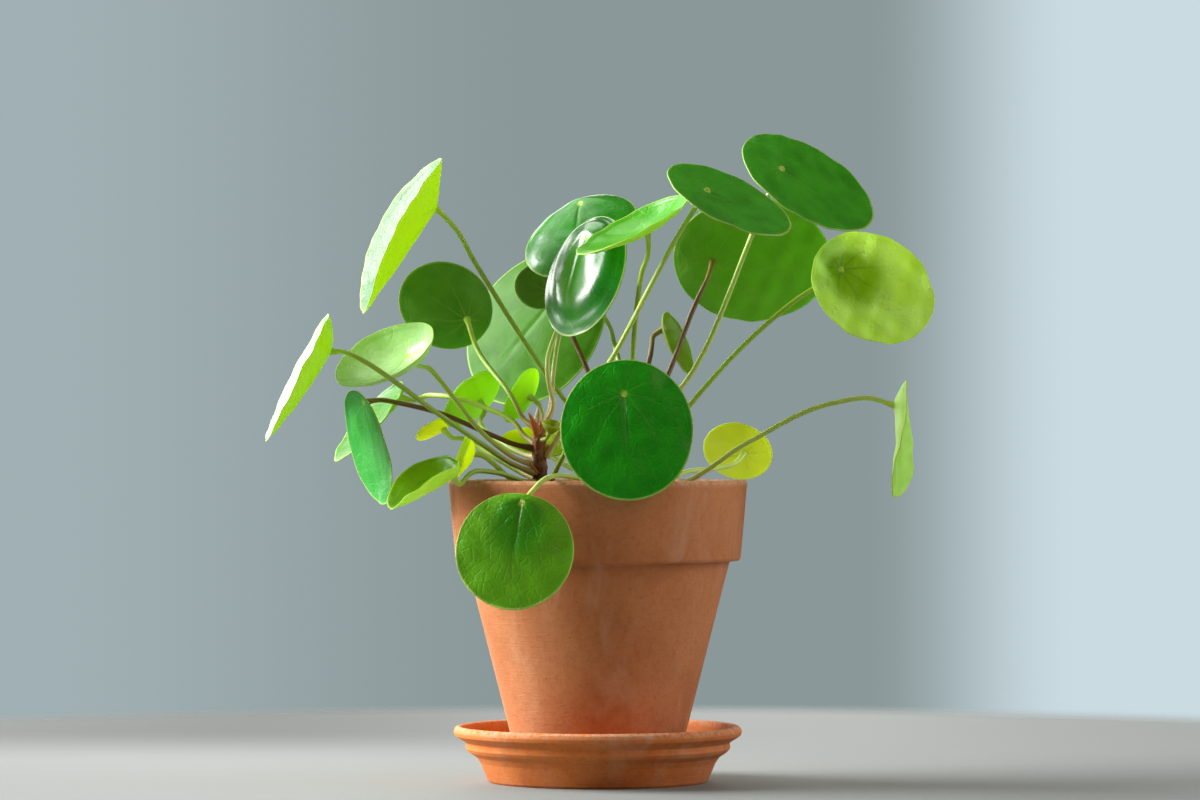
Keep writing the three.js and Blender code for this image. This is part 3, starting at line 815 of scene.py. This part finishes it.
def make_stalk(leaf, tree, blade, material, slot, settings):
    """A stalk along the packed one's line, with its foot in the bark and its end inside the blade."""
    node = f"{leaf}_petiole"
    line, radius = centre_line(node, blade.spot)
    into_bark = line[0] - line[1]
    into_bark /= np.linalg.norm(into_bark)
    foot = line[0] + into_bark * (radius * 0.3 + 0.9 * MM)
    seat = blade.spot - blade.facing * blade.thickness * 0.55
    line = np.array([foot, *line, seat])
    walked = np.concatenate([[0], np.cumsum(np.linalg.norm(np.diff(line, axis=0), axis=1))])
    mesh = mesh_of(node, line, edges=[(i, i + 1) for i in range(len(line) - 1)])
    store(mesh, "from_foot", "FLOAT", walked)
    store(mesh, "to_leaf", "FLOAT", walked[-1] - walked)
    store(mesh, "stalk_share", "FLOAT", walked / walked[-1])
    inputs = {
        "Radius": radius,
        "Foot Swelling": settings.foot_swelling,
        "Leaf Swelling": settings.leaf_swelling,
        "Sides": settings.sides,
        "Steps": max(FEWEST_STALK_STEPS, int(walked[-1] / STALK_STEP)),
        "Material": material,
    }
    settle(grown(f"{leaf}_stalk", mesh, tree, inputs), slot, node)


# ---- leaves ----
VEINS = 9
PUCKER_WAVES = 9
SEED_SHIFT = 37.0
PLAIN_LOOK = {
    "gloss": 0.34,  # roughness of the upper side
    "shine": 0.3,  # strength of its reflections
    "coat": 0.08,  # share of a clear waxy coat
    "dots": 0.18,  # how far its fine dots stand out
    "relief": 1.0,  # strength of its fine relief
    "pimples": 0.0,  # height of its small bumps
    "groove": 0.3,  # depth of its midrib in millimetres
    "pucker": None,  # height of its waves in millimetres, where it isn't the usual one
    "ridge": 0.0,  # height of its raised ring in millimetres
    "split": 0.0,  # how much more light the underside lets through than the upper side
    "heart": None,  # colour round its spot
    "under": None,  # colour of its underside, where it isn't made from the upper one
}


def look(colours, light, **more):
    """Colours of a leaf's upper side, its deeper patches and the light it passes, and the share it passes."""
    upper, deep, glow = (srgb(code) for code in colours.split())
    return {**PLAIN_LOOK, "upper": upper, "deep": deep, "glow": glow, "light": light, **more}


# Besides each leaf's own green, these colours carry painted light and shade: they were set leaf by leaf to
# how bright each leaf is in its place. Paler rows such as leaf_14 and leaf_21 to leaf_26 partly paint the
# light on lit and backlit leaves. Darker rows such as leaf_05, leaf_06 and leaf_25 partly paint shade.
LEAF_LOOKS = {
    "leaf_01": look("#1CA80E #10940A #70C010", 0.2, groove=0.5, coat=0.2, relief=1.4, shine=0.24),
    "leaf_02": look(
        "#68B414 #58A010 #A0D81C", 0.2, gloss=0.4, dots=0.4, coat=0.1, relief=1.2, heart="#388C08"
    ),
    # leaf_03 and leaf_04: their pale bluish upper colours are painted sheen, the window's reflection on their
    # upper sides, and their saturated under colour partly paints the light shining through
    "leaf_03": look("#C4E8C8 #B0DCB4 #CCE818", 0.45, split=0.45, coat=0.4, under="#98C010"),
    "leaf_04": look("#789C7C #6C9070 #D0EC24", 0.5, split=0.35, under="#98C010"),
    "leaf_05": look("#349004 #267C04 #5CAC04", 0.3, shine=0.2),
    "leaf_06": look("#508824 #407414 #98D41C", 0.34, relief=0.35, shine=0.12, coat=0.0, pucker=0.15),
    "leaf_07": look("#2C9C18 #1C8010 #80D010", 0.2, gloss=0.28, coat=0.4, relief=0.5, pucker=0.15),
    "leaf_08": look(
        "#068406 #047004 #60B808", 0.14, gloss=0.24, coat=1.0, relief=0.3, shine=0.5, pucker=0.08, ridge=0.45
    ),
    "leaf_09": look("#64C834 #48B020 #C8EC18", 0.4, gloss=0.3, coat=0.35),
    "leaf_10": look("#44AC28 #349418 #90D018", 0.28, dots=0.45),
    "leaf_11": look("#40A81C #309012 #80CC14", 0.24, dots=0.3),
    "leaf_12": look("#409004 #307C04 #94D404", 0.44, shine=0.2),
    # leaf_13: the dark heart is painted shade in its cupped middle, and its pale upper colour is painted
    # light on its lit rim
    "leaf_13": look("#DCFC9C #C8F068 #DCF838", 0.54, heart="#1E6002", pimples=1.2, pucker=0.7),
    "leaf_14": look("#C4F090 #9CD85C #C8E430", 0.42),
    "leaf_15": look("#D0E05C #BCD048 #E4F044", 0.55, heart="#A4C838"),
    "leaf_16": look("#70A018 #787818 #B0D018", 0.35),
    # leaf_17: its pale colours are painted light and gloss on a leaf facing the key light
    "leaf_17": look("#D4F4BC #BCE894 #C4F020", 0.28, gloss=0.28, coat=0.3, shine=0.4),
    "leaf_18": look("#4CB054 #389C3C #90D830", 0.3, gloss=0.3),
    "leaf_19": look("#4A9018 #367C0E #A4D818", 0.33),
    # leaf_20: its pale under colour is painted light on the lit front part, where its underside shows
    "leaf_20": look("#409008 #307806 #D4F818", 0.48, gloss=0.26, coat=0.4, under="#D0F880", pucker=0.4),
    "leaf_21": look("#88CC08 #70B804 #B4E004", 0.5),
    "leaf_22": look("#D4F024 #BCE018 #F4FC20", 0.65),
    "leaf_23": look("#B8E824 #98D014 #F0FC14", 0.72),
    "leaf_24": look("#9CE00C #80C808 #D0F804", 0.64),
    "leaf_25": look("#3C7C06 #2C6804 #70A808", 0.3),
    "leaf_26": look("#CCF81C #B4EC0C #F0FC0C", 0.7),
    "leaf_27": look("#B4BC30 #9CA420 #CCD828", 0.45),
}


def leaf_material(name, given, size, seed, settings):
    """A succulent blade: waxy dotted upper side, radiating veins, pale spot and margin, a painted sheen along
    the midrib, matt underside.
    """
    graph = Finish(name)
    upper, deep, glow = given["upper"], given["deep"], given["glow"]
    plane = graph.attribute("blade_place", "Vector")
    share = graph.attribute("blade_share")
    x, y, _ = graph.parts(plane)
    shift = graph.vector("ADD", plane, (seed * SEED_SHIFT, 0, 0))
    reach = (x * x + y * y) ** 0.5
    turn = y.math("ARCTAN2", x)
    sway = graph.noise(shift, 0.06, 2) - 0.5
    phase = (turn + share * turn.math("SINE") * 0.3 + sway * 0.35) * (VEINS / TAU)
    beside = ((phase + 0.5).math("FRACT") - 0.5).math("ABSOLUTE") * (TAU / VEINS)
    veins = graph.ramp(beside * reach, 0.1, 0.8, 1.0, 0.0) * graph.ramp(share, 0.95, 0.15)
    network = graph.ramp(graph.cells(shift, 0.2, "DISTANCE_TO_EDGE"), 0.0, 0.09, 1.0, 0.0)
    clouds = graph.noise(shift, 0.07, 3, 0.6)
    creases = graph.noise(shift, 0.35, 3, 0.6, 0.8)
    dot = graph.ramp(graph.cells(shift, 1.5), 0.1, 0.45, 1.0, 0.0)
    edge = settings.margin / size
    margin = graph.ramp(share, 1 - 2.2 * edge, 1 - 0.8 * edge)
    spot = graph.ramp(reach, 0.5, 2.1, 1.0, 0.0)
    # Painted sheen: a pale band along the midrib of the upper side, where its groove catches light; the same
    # mask sinks the groove in the bump.
    midrib_groove_and_sheen = graph.ramp(y.math("ABSOLUTE"), 0.1, 0.7, 1.0, 0.0)
    midrib_groove_and_sheen = midrib_groove_and_sheen * graph.ramp(x, 14.0, 2.0) * graph.ramp(x, -1.0, 0.5)
    above = graph.ramp(graph.attribute("blade_side"), -0.2, 0.2)
    pale = blended(glow, (0.75, 0.85, 0.25), 0.6)
    strength = settings.vein_strength
    colour = graph.painted(
        upper,
        (graph.ramp(clouds, 0.35, 0.7), deep),
        (dot * given["dots"], blended(upper, pale, 0.45)),
        (veins * strength, blended(upper, pale, 0.5)),
        (network * strength * 0.4, blended(upper, pale, 0.3)),
    )
    if given["heart"]:
        heart = graph.ramp(share + (clouds - 0.5) * 0.3, 0.66, 0.3)
        colour = graph.painted(colour, (heart, srgb(given["heart"])))
    beneath = srgb(given["under"]) if given["under"] else blended(upper, pale, 0.3)
    under = graph.painted(
        beneath,
        (graph.ramp(clouds, 0.3, 0.7), blended(beneath, deep, 0.4)),
        (veins * 0.5, blended(upper, pale, 0.55)),
    )
    colour = graph.painted(
        under,
        (above, colour),
        # the painted sheen along the midrib
        (midrib_groove_and_sheen * above * 0.22, pale),
        (margin * 0.7, blended(pale, (0.55, 0.75, 0.2), 0.3)),
        (spot * 0.75, blended(pale, (0.6, 0.85, 0.02), 0.5)),
    )
    pimples = graph.ramp(graph.cells(shift, 0.32), 0.05, 0.4, 1.0, 0.0) * given["pimples"]
    relief = creases * 0.9 + clouds * 1.2 - veins * 0.35 - network * 0.25 + dot * 0.12
    relief = relief - midrib_groove_and_sheen * 0.6 + pimples
    gloss = given["gloss"]
    roughness = graph.ramp(above, 0.0, 1.0, gloss + 0.2, gloss) + (creases - 0.5) * 0.12
    more = {
        "Specular IOR Level": given["shine"],
        "Coat Weight": above * given["coat"],
        "Coat Roughness": 0.18,
        "Normal": graph.bumped(relief, 0.35 * MM, 0.7 * given["relief"]),
    }
    passing = (1 - veins * 0.25 - spot * 0.3) * (given["light"] + (0.5 - above) * given["split"])
    return graph.done(graph.lit_through(passing, graph.surface(colour, roughness, more), glow))


def blade_rows():
    """Rows of a blade's shell, from its spot to its rim and back below: share, turn over the edge, side."""
    inner = [*np.linspace(0, 0.9, 25)[1:], 0.925, 0.947, 0.965, 0.98, 0.991]
    rows = [(share, 0.0, 1.0) for share in inner]
    rows += [(1.0, turn, math.cos(turn)) for turn in np.linspace(0, math.pi, 9)]
    rows += [(share, math.pi, -1.0) for share in reversed(inner)]
    return np.array(rows).T


def dimple_depth(blade):
    return 0.45 * MM * min(1.0, blade.size / (40 * MM))


def bump_over(place, middle, width):
    return np.exp(-(((place - middle) / width) ** 2))


def blade_relief(blade, given, seed, shares, x, y, settings):
    """What the packed cup leaves out: puckering, a sunken midrib, a dimple at the spot and a raised ring."""
    random = np.random.RandomState(seed)
    pucker = settings.pucker if given["pucker"] is None else given["pucker"] * MM
    total = np.zeros_like(x)
    for _ in range(PUCKER_WAVES):
        turn = random.uniform(0, TAU)
        wave = TAU / (random.uniform(9, 22) * MM)
        start = random.uniform(0, TAU)
        total += np.sin(wave * (math.cos(turn) * x + math.sin(turn) * y) + start)
    total *= pucker / 3 * smooth_step(0.08, 0.5, shares)
    along_tip = smooth_step(0, 2 * MM, x) * smooth_step(0.85, 0.35, shares)
    total -= given["groove"] * MM * bump_over(y, 0, 1.3 * MM) * along_tip
    total -= dimple_depth(blade) * bump_over(np.hypot(x, y), 0, 2.6 * MM)
    raised = bump_over(shares, 0.66, 0.12) - 0.6 * bump_over(shares, 0.84, 0.07)
    return total + given["ridge"] * MM * raised


def make_leaf(leaf, blade, material, slot, settings, seed):
    """A closed blade: the packed cup with its own relief, a wavy outline and a rounded rim."""
    shares, turns, sides = blade_rows()
    around = len(blade.outline)
    random = np.random.RandomState(seed + 100)
    angles = np.linspace(0, TAU, around, endpoint=False)
    waves = [random.uniform(-1, 1) / n * np.cos(n * angles + random.uniform(0, TAU)) for n in range(2, 8)]
    outline = blade.outline * (1 + settings.rim_wobble * sum(waves))[:, None]
    distance = np.linalg.norm(outline, axis=1)
    edge = settings.edge_thickness / 2
    inset = edge * (1 - np.sin(turns))
    stretch = shares[:, None] - np.outer(shares > 0.9, 1 / distance) * inset[:, None] * shares[:, None]
    x, y = stretch * outline[:, 0], stretch * outline[:, 1]
    relief = blade_relief(blade, LEAF_LOOKS[leaf], seed, shares[:, None], x, y, settings)
    bead = 0.3 * edge * bump_over((1 - shares[:, None]) * distance, 0, 0.9 * MM)
    drop = np.where(sides < 0, 2 * edge + (blade.thickness - 2 * edge) * (1 - shares**2), 0)
    drop = np.where(shares == 1.0, edge * (1 - np.cos(turns)), drop)
    lift = np.where(sides > 0, 1, -0.4)[:, None] * bead
    points = blade.in_frame(x, y, blade.height(shares) + relief - drop[:, None] + lift).reshape(-1, 3)
    poles = [blade.spot - blade.facing * (dimple_depth(blade) + depth) for depth in (0, blade.thickness)]
    mesh = mesh_of(f"{leaf}_leaf", [*points, *poles], shell_faces(around, len(shares)))
    place = np.stack([x, y, np.zeros_like(x)], axis=-1).reshape(-1, 3) / MM
    store(mesh, "blade_place", "FLOAT_VECTOR", np.vstack([place, np.zeros((2, 3))]))
    store(mesh, "blade_share", "FLOAT", [*np.repeat(shares, around), 0, 0])
    store(mesh, "blade_side", "FLOAT", [*np.repeat(sides, around), 1, -1])
    settle(smooth_piece(mesh, material), slot, f"{leaf}_blade")


# ---- sizes and colours that a user may change ----
def number(name, description, default, **more):
    return FloatProperty(name=name, description=description, default=default, **more)


def length(name, description, millimetres):
    return number(name, description, millimetres * MM, unit="LENGTH")


def power(name, description, watts):
    return number(name, description, watts, unit="POWER")


def colour_of(name, description, colour):
    return FloatVectorProperty(name=name, description=description, default=colour, subtype="COLOR")


class PotSettings(bpy.types.PropertyGroup):
    """Sizes and colours of the pot and the saucer."""

    segments: IntProperty(name="Segments", description="Sides of each turned body", default=160, min=24)
    edge_radius: length("Edge radius", "Rounding of the clay's edges", 0.7)
    waviness: length("Waviness", "Unevenness of the turned walls", 0.7)
    pot_colour: colour_of("Pot clay", "Colour of the pot", srgb("#C07C4E"))
    saucer_colour: colour_of("Saucer clay", "Colour of the saucer", srgb("#D87C3A"))
    pale_colour: colour_of("Bloom", "Colour of the mineral bloom and worn edges", srgb("#E4BC9C"))
    deep_colour: colour_of("Deep clay", "Colour of the darker firing", srgb("#94481E"))


class SoilSettings(bpy.types.PropertyGroup):
    """Sizes and colours of the potting soil."""

    lump_height: length("Lump height", "Unevenness of the bed", 1.6)
    crumb_size: length("Crumb size", "Largest radius of a crumb", 1.7)
    crumb_density: number("Crumbs", "Crumbs on each square metre", 130000.0)
    bead_density: number("Perlite", "Perlite grains on each square metre", 9000.0)
    soil_colour: colour_of("Soil", "Colour of damp peat", srgb("#2A1C12"))
    dry_colour: colour_of("Dry soil", "Colour of dry peat", srgb("#5A4230"))


class StemSettings(bpy.types.PropertyGroup):
    """Sizes and colours of the stems and their scales."""

    bark_relief: length("Bark relief", "Height of the bark's roughness", 0.5)
    foot_colour: colour_of("Foot", "Colour of the old bark", srgb("#2A140C"))
    bark_colour: colour_of("Bark", "Colour of the young bark", srgb("#B47448"))
    scale_colour: colour_of("Scales", "Colour of the papery scales", srgb("#E89050"))
    sheath_colour: colour_of("Sheaths", "Colour of the pale sheaths", srgb("#F0DCCC"))


class StalkSettings(bpy.types.PropertyGroup):
    """Sizes of the leaf stalks."""

    sides: IntProperty(name="Sides", description="Sides of a stalk's section", default=14, min=6)
    foot_swelling: number("Foot swelling", "Share added to the radius at the foot", 0.5)
    leaf_swelling: number("Leaf swelling", "Share added under the leaf", 0.45)


class LeafSettings(bpy.types.PropertyGroup):
    """Sizes of the leaf blades' finer relief."""

    around: IntProperty(name="Steps round", description="Steps round each blade", default=108, min=36)
    pucker: length("Puckering", "Height of the soft waves of a blade", 0.28)
    rim_wobble: number("Rim wobble", "Unevenness of the outline", 0.012)
    edge_thickness: length("Edge thickness", "Thickness of the rounded rim", 0.5)
    margin: number("Margin", "Width of the pale margin in millimetres", 0.4)
    vein_strength: number("Veins", "How far the veins stand out in colour", 0.08)


class StageSettings(bpy.types.PropertyGroup):
    """Light, floor and camera."""

    floor_colour: colour_of("Floor", "Colour of the floor", srgb("#8A8E8E"))
    wall_colour: colour_of("Background", "Colour behind the plant", srgb("#8A9899"))
    pale_wall_colour: colour_of("Pale background", "Colour beside the window's light", srgb("#CADBE2"))
    room_colour: colour_of("Room light", "Colour of the light from all round", (0.11, 0.095, 0.078))
    key_power: power("Key light", "Power of the window light", 92.0)
    top_power: power("Top light", "Power of the soft light from above", 8.0)
    back_power: power("Back light", "Power of the light from behind", 12.0)
    fill_power: power("Fill light", "Power of the soft fill from the front", 4.2)
    side_power: power("Side light", "Power of the light thrown back from the right", 15.0)


GROUPS = {
    "plant_pot": PotSettings,
    "plant_soil": SoilSettings,
    "plant_stems": StemSettings,
    "plant_stalks": StalkSettings,
    "plant_leaves": LeafSettings,
    "plant_stage": StageSettings,
}


def leaf_blades(settings):
    return {leaf: Blade(f"{leaf}_blade", f"{leaf}_petiole", settings.around) for leaf in LEAVES}


# ---- operators ----
class MakePot(bpy.types.Operator):
    """Turns the terracotta pot and its saucer."""

    bl_idname = "money_plant.make_pot"
    bl_label = "Make pot and saucer"

    def execute(self, context):
        settings = context.scene.plant_pot
        for name, colour in (("pot", settings.pot_colour), ("saucer", settings.saucer_colour)):
            low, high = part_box(name)
            tones = (colour, settings.pale_colour, settings.deep_colour)
            material = clay_material(f"{name}_clay", *tones, low.z, high.z)
            turned_piece(f"turned_{name}", name, f"terracotta_{name}", material, settings)
        return {"FINISHED"}


class MakeSoil(bpy.types.Operator):
    """Lays the soil bed and scatters its crumbs, perlite and bark chips."""

    bl_idname = "money_plant.make_soil"
    bl_label = "Make soil"

    def execute(self, context):
        settings = context.scene.plant_soil
        peat = (settings.soil_colour, settings.dry_colour)
        white = (srgb("#E4DED2"), srgb("#F4F0E8"))
        wood = (srgb("#4A2C18"), srgb("#8A5A34"))
        size = settings.crumb_size
        bed = make_soil_bed(settings, soil_material("soil_peat", *peat, 260))
        tree = grains_tree()
        # Each kind: number on a square metre, largest radius, flatness, seed, colours, pattern's fineness.
        kinds = {
            "soil_crumbs": (settings.crumb_density, size, 0.75, 3, peat, 700),
            "perlite_grains": (settings.bead_density, size * 1.05, 0.85, 11, white, 500),
            "bark_chips": (9000.0, size * 2.1, 0.3, 23, wood, 400),
        }
        for name, (density, grain_size, flatness, seed, colours, fineness) in kinds.items():
            inputs = {
                "Density": density,
                "Grain Size": grain_size,
                "Flatness": flatness,
                "Seed": seed,
                "Material": soil_material(f"{name}_finish", *colours, fineness),
            }
            settle(grown(name, scatter_bed(bed), tree, inputs), "potting_soil")
        settle(bed, "potting_soil", "soil")
        return {"FINISHED"}


class MakeStems(bpy.types.Operator):
    """Grows the two woody stems with their papery scales and pale sheaths."""

    bl_idname = "money_plant.make_stems"
    bl_label = "Make stems"

    def execute(self, context):
        settings = context.scene.plant_stems
        soil_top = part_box("soil")[1].z
        for seed, node in enumerate(("main_stem", "side_stem")):
            low, high = soil_top + 6 * MM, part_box(node)[1].z - 4 * MM
            material = bark_material(f"{node}_bark", low, high, settings.foot_colour, settings.bark_colour)
            bark_stem(f"{node}_wood", node, material, settings, seed * 9.0 + 1)
        brown = settings.scale_colour
        dry = scale_material("scale_paper", brown, blended(brown, srgb("#E0A468"), 0.5))
        pale = scale_material("sheath_skin", settings.sheath_colour, srgb("#D8DCA8"))
        for name, (node, drop, turn, length_mm, width, curl, lean) in SCALES.items():
            rings = stem_rings(node)
            level = rings[-1][0][2] - drop * MM
            middle, radius = min(rings, key=lambda ring: abs(ring[0][2] - level))
            out = Vector((math.cos(math.radians(turn)), math.sin(math.radians(turn)), 0))
            rise = (Vector((0, 0, 1)) + out * lean).normalized()
            sizes = (length_mm * MM, width * MM, curl * MM)
            material = pale if "sheath" in name else dry
            piece = papery_scale(name, Vector(middle) + out * radius * 0.75, rise, out, *sizes, material)
            settle(piece, "dry_scale", *(["stipule"] if name == "scale_left" else []))
        return {"FINISHED"}


class MakeStalks(bpy.types.Operator):
    """Sweeps the leaf stalks."""

    bl_idname = "money_plant.make_stalks"
    bl_label = "Make stalks"

    def execute(self, context):
        materials = {
            slot: stalk_material(f"{slot}_skin", *map(srgb, codes)) for slot, codes in STALK_FINISHES.items()
        }
        tree = stalk_tree()
        for leaf, blade in leaf_blades(context.scene.plant_leaves).items():
            slot = SLOTS[f"{leaf}_petiole"]
            make_stalk(leaf, tree, blade, materials[slot], slot, context.scene.plant_stalks)
        return {"FINISHED"}


class MakeLeaves(bpy.types.Operator):
    """Shapes the round leaf blades."""

    bl_idname = "money_plant.make_leaves"
    bl_label = "Make leaves"

    def execute(self, context):
        settings = context.scene.plant_leaves
        for seed, (leaf, blade) in enumerate(leaf_blades(settings).items(), start=1):
            half_size = blade.size / MM / 2
            material = leaf_material(f"{leaf}_skin", LEAF_LOOKS[leaf], half_size, seed, settings)
            make_leaf(leaf, blade, material, SLOTS[f"{leaf}_blade"], settings, seed)
        return {"FINISHED"}


FLOOR_RADIUS = 0.62
FLOOR_FADE = 0.12
FLOOR_STEPS = 96
CAMERA_PLACE = (0.9 * MM, -2.083, 149.8 * MM)
CAMERA_TILT = math.radians(90.44)
CAMERA_LENS = 143.7
LAMP_TARGET = Vector((0, 0, 0.15))

# Each lamp's place, width and height, and colour. Its power is a setting.
LAMPS = {
    "key": ((-1.5, 0.2, 0.78), (1.3, 1.0), (0.98, 0.99, 0.97)),
    "top": ((-0.7, 0.78, 1.5), (1.0, 1.0), (1.0, 1.0, 0.96)),
    "back": ((-0.45, 1.5, 0.45), (1.6, 0.8), (1.0, 1.0, 0.95)),
    "fill": ((0.9, -1.5, 1.1), (0.8, 0.8), (1.0, 0.76, 0.46)),
    "side": ((1.5, -0.05, 0.55), (1.2, 1.2), (0.92, 0.96, 1.0)),
}


def studio_world(settings):
    """A plain wall with painted window light making it paler at its sides, for the eye; a dim warm room for
    the light.
    """
    world = bpy.data.worlds.new("studio")
    world.use_nodes = True
    world.node_tree.nodes.clear()
    graph = Graph(world.node_tree)
    x, _, _ = graph.parts(graph.node("ShaderNodeTexCoord").out("Generated"))
    # painted light: the wall is lightened towards its sides, beside the window's light
    sides = graph.ramp(x, -0.01, -0.12) * 0.3 + graph.ramp(x, 0.055, 0.1)
    wall = graph.painted(settings.wall_colour, (sides, settings.pale_wall_colour))
    seen = graph.node("ShaderNodeLightPath").out("Is Camera Ray")
    colour = graph.painted(settings.room_colour, (seen, wall))
    sky = graph.node("ShaderNodeBackground", None, {"Color": colour, "Strength": 1.0})
    graph.node("ShaderNodeOutputWorld", None, {"Surface": sky})
    return world


def floor_material(colour):
    """A plain table top with painted shade far back and at its far left, that fades out at its edge."""
    graph = Finish("floor_top")
    place = graph.place()
    x, y, _ = graph.parts(place)
    grain = graph.noise(graph.scaled(place, (1, 7, 1)), 14, 4, 0.6)
    # painted shade: a painted shadow far back on the left, and darkening at the far left where the key light
    # falls strongest
    shade = graph.ramp(y, 0.12, 0.36) * graph.ramp(x, 0.15, -0.2) * 0.8
    shade = shade + graph.ramp(x, -0.1, -0.55) * graph.ramp(y, 0.36, 0.12) * 0.6
    tone = graph.painted(
        colour,
        (graph.ramp(grain, 0.35, 0.7) * 0.35, blended(colour, (0.3, 0.25, 0.2), 0.3)),
        (shade, blended(colour, (0.03, 0.03, 0.03), 0.8)),
    )
    solid = graph.surface(tone, 0.8, {"Specular IOR Level": 0.15})
    clear = graph.node("ShaderNodeBsdfTransparent")
    edge = graph.ramp((x * x + y * y) ** 0.5, FLOOR_RADIUS - FLOOR_FADE, FLOOR_RADIUS)
    return graph.done(graph.node("ShaderNodeMixShader", None, {0: edge, 1: solid, 2: clear}))


class MakeStage(bpy.types.Operator):
    """Sets up the floor, the lights and the camera."""

    bl_idname = "money_plant.make_stage"
    bl_label = "Make stage"

    def execute(self, context):
        scene = context.scene
        settings = scene.plant_stage
        rim = [(FLOOR_RADIUS * x, FLOOR_RADIUS * y, 0) for x, y in circle(FLOOR_STEPS)]
        floor = new_piece("floor", mesh_of("floor", rim, [range(FLOOR_STEPS)]))
        floor.data.materials.append(floor_material(settings.floor_colour))

        scene.world = studio_world(settings)
        scene.view_settings.view_transform = "Standard"
        for name, (place, size, colour) in LAMPS.items():
            lamp = bpy.data.lights.new(f"{name}_light", "AREA")
            lamp.energy = getattr(settings, f"{name}_power")
            lamp.shape = "RECTANGLE"
            lamp.size, lamp.size_y = size
            lamp.color = colour
            holder = new_piece(f"{name}_light", lamp)
            holder.location = place
            holder.rotation_euler = (LAMP_TARGET - Vector(place)).to_track_quat("-Z", "Y").to_euler()
            holder.visible_camera = False

        camera = bpy.data.cameras.new("camera")
        camera.lens = CAMERA_LENS
        scene.camera = new_piece("camera", camera)
        scene.camera.location = CAMERA_PLACE
        scene.camera.rotation_euler = (CAMERA_TILT, 0, 0)
        return {"FINISHED"}


OPERATORS = (MakeStage, MakePot, MakeSoil, MakeStems, MakeStalks, MakeLeaves)


class PlantPanel(bpy.types.Panel):
    """Lists the plant's settings and the steps that build it."""

    bl_idname = "VIEW3D_PT_money_plant"
    bl_label = "Money plant"
    bl_space_type = "VIEW_3D"
    bl_region_type = "UI"
    bl_category = "Money plant"

    def draw(self, context):
        for step in OPERATORS:
            self.layout.operator(step.bl_idname)
        for name, group in GROUPS.items():
            box = self.layout.box()
            box.label(text=group.__doc__.rstrip("."))
            for field in group.__annotations__:
                box.prop(getattr(context.scene, name), field)


CLASSES = (*GROUPS.values(), *OPERATORS, PlantPanel)


def register():
    for cls in CLASSES:
        bpy.utils.register_class(cls)
    for name, group in GROUPS.items():
        setattr(bpy.types.Scene, name, PointerProperty(type=group))


def unregister():
    for name in GROUPS:
        delattr(bpy.types.Scene, name)
    for cls in reversed(CLASSES):
        bpy.utils.unregister_class(cls)


def main():
    register()
    bpy.ops.money_plant.make_stage()
    bpy.ops.money_plant.make_pot()
    bpy.ops.money_plant.make_soil()
    bpy.ops.money_plant.make_stems()
    bpy.ops.money_plant.make_stalks()
    bpy.ops.money_plant.make_leaves()


if __name__ == "__main__":
    main()
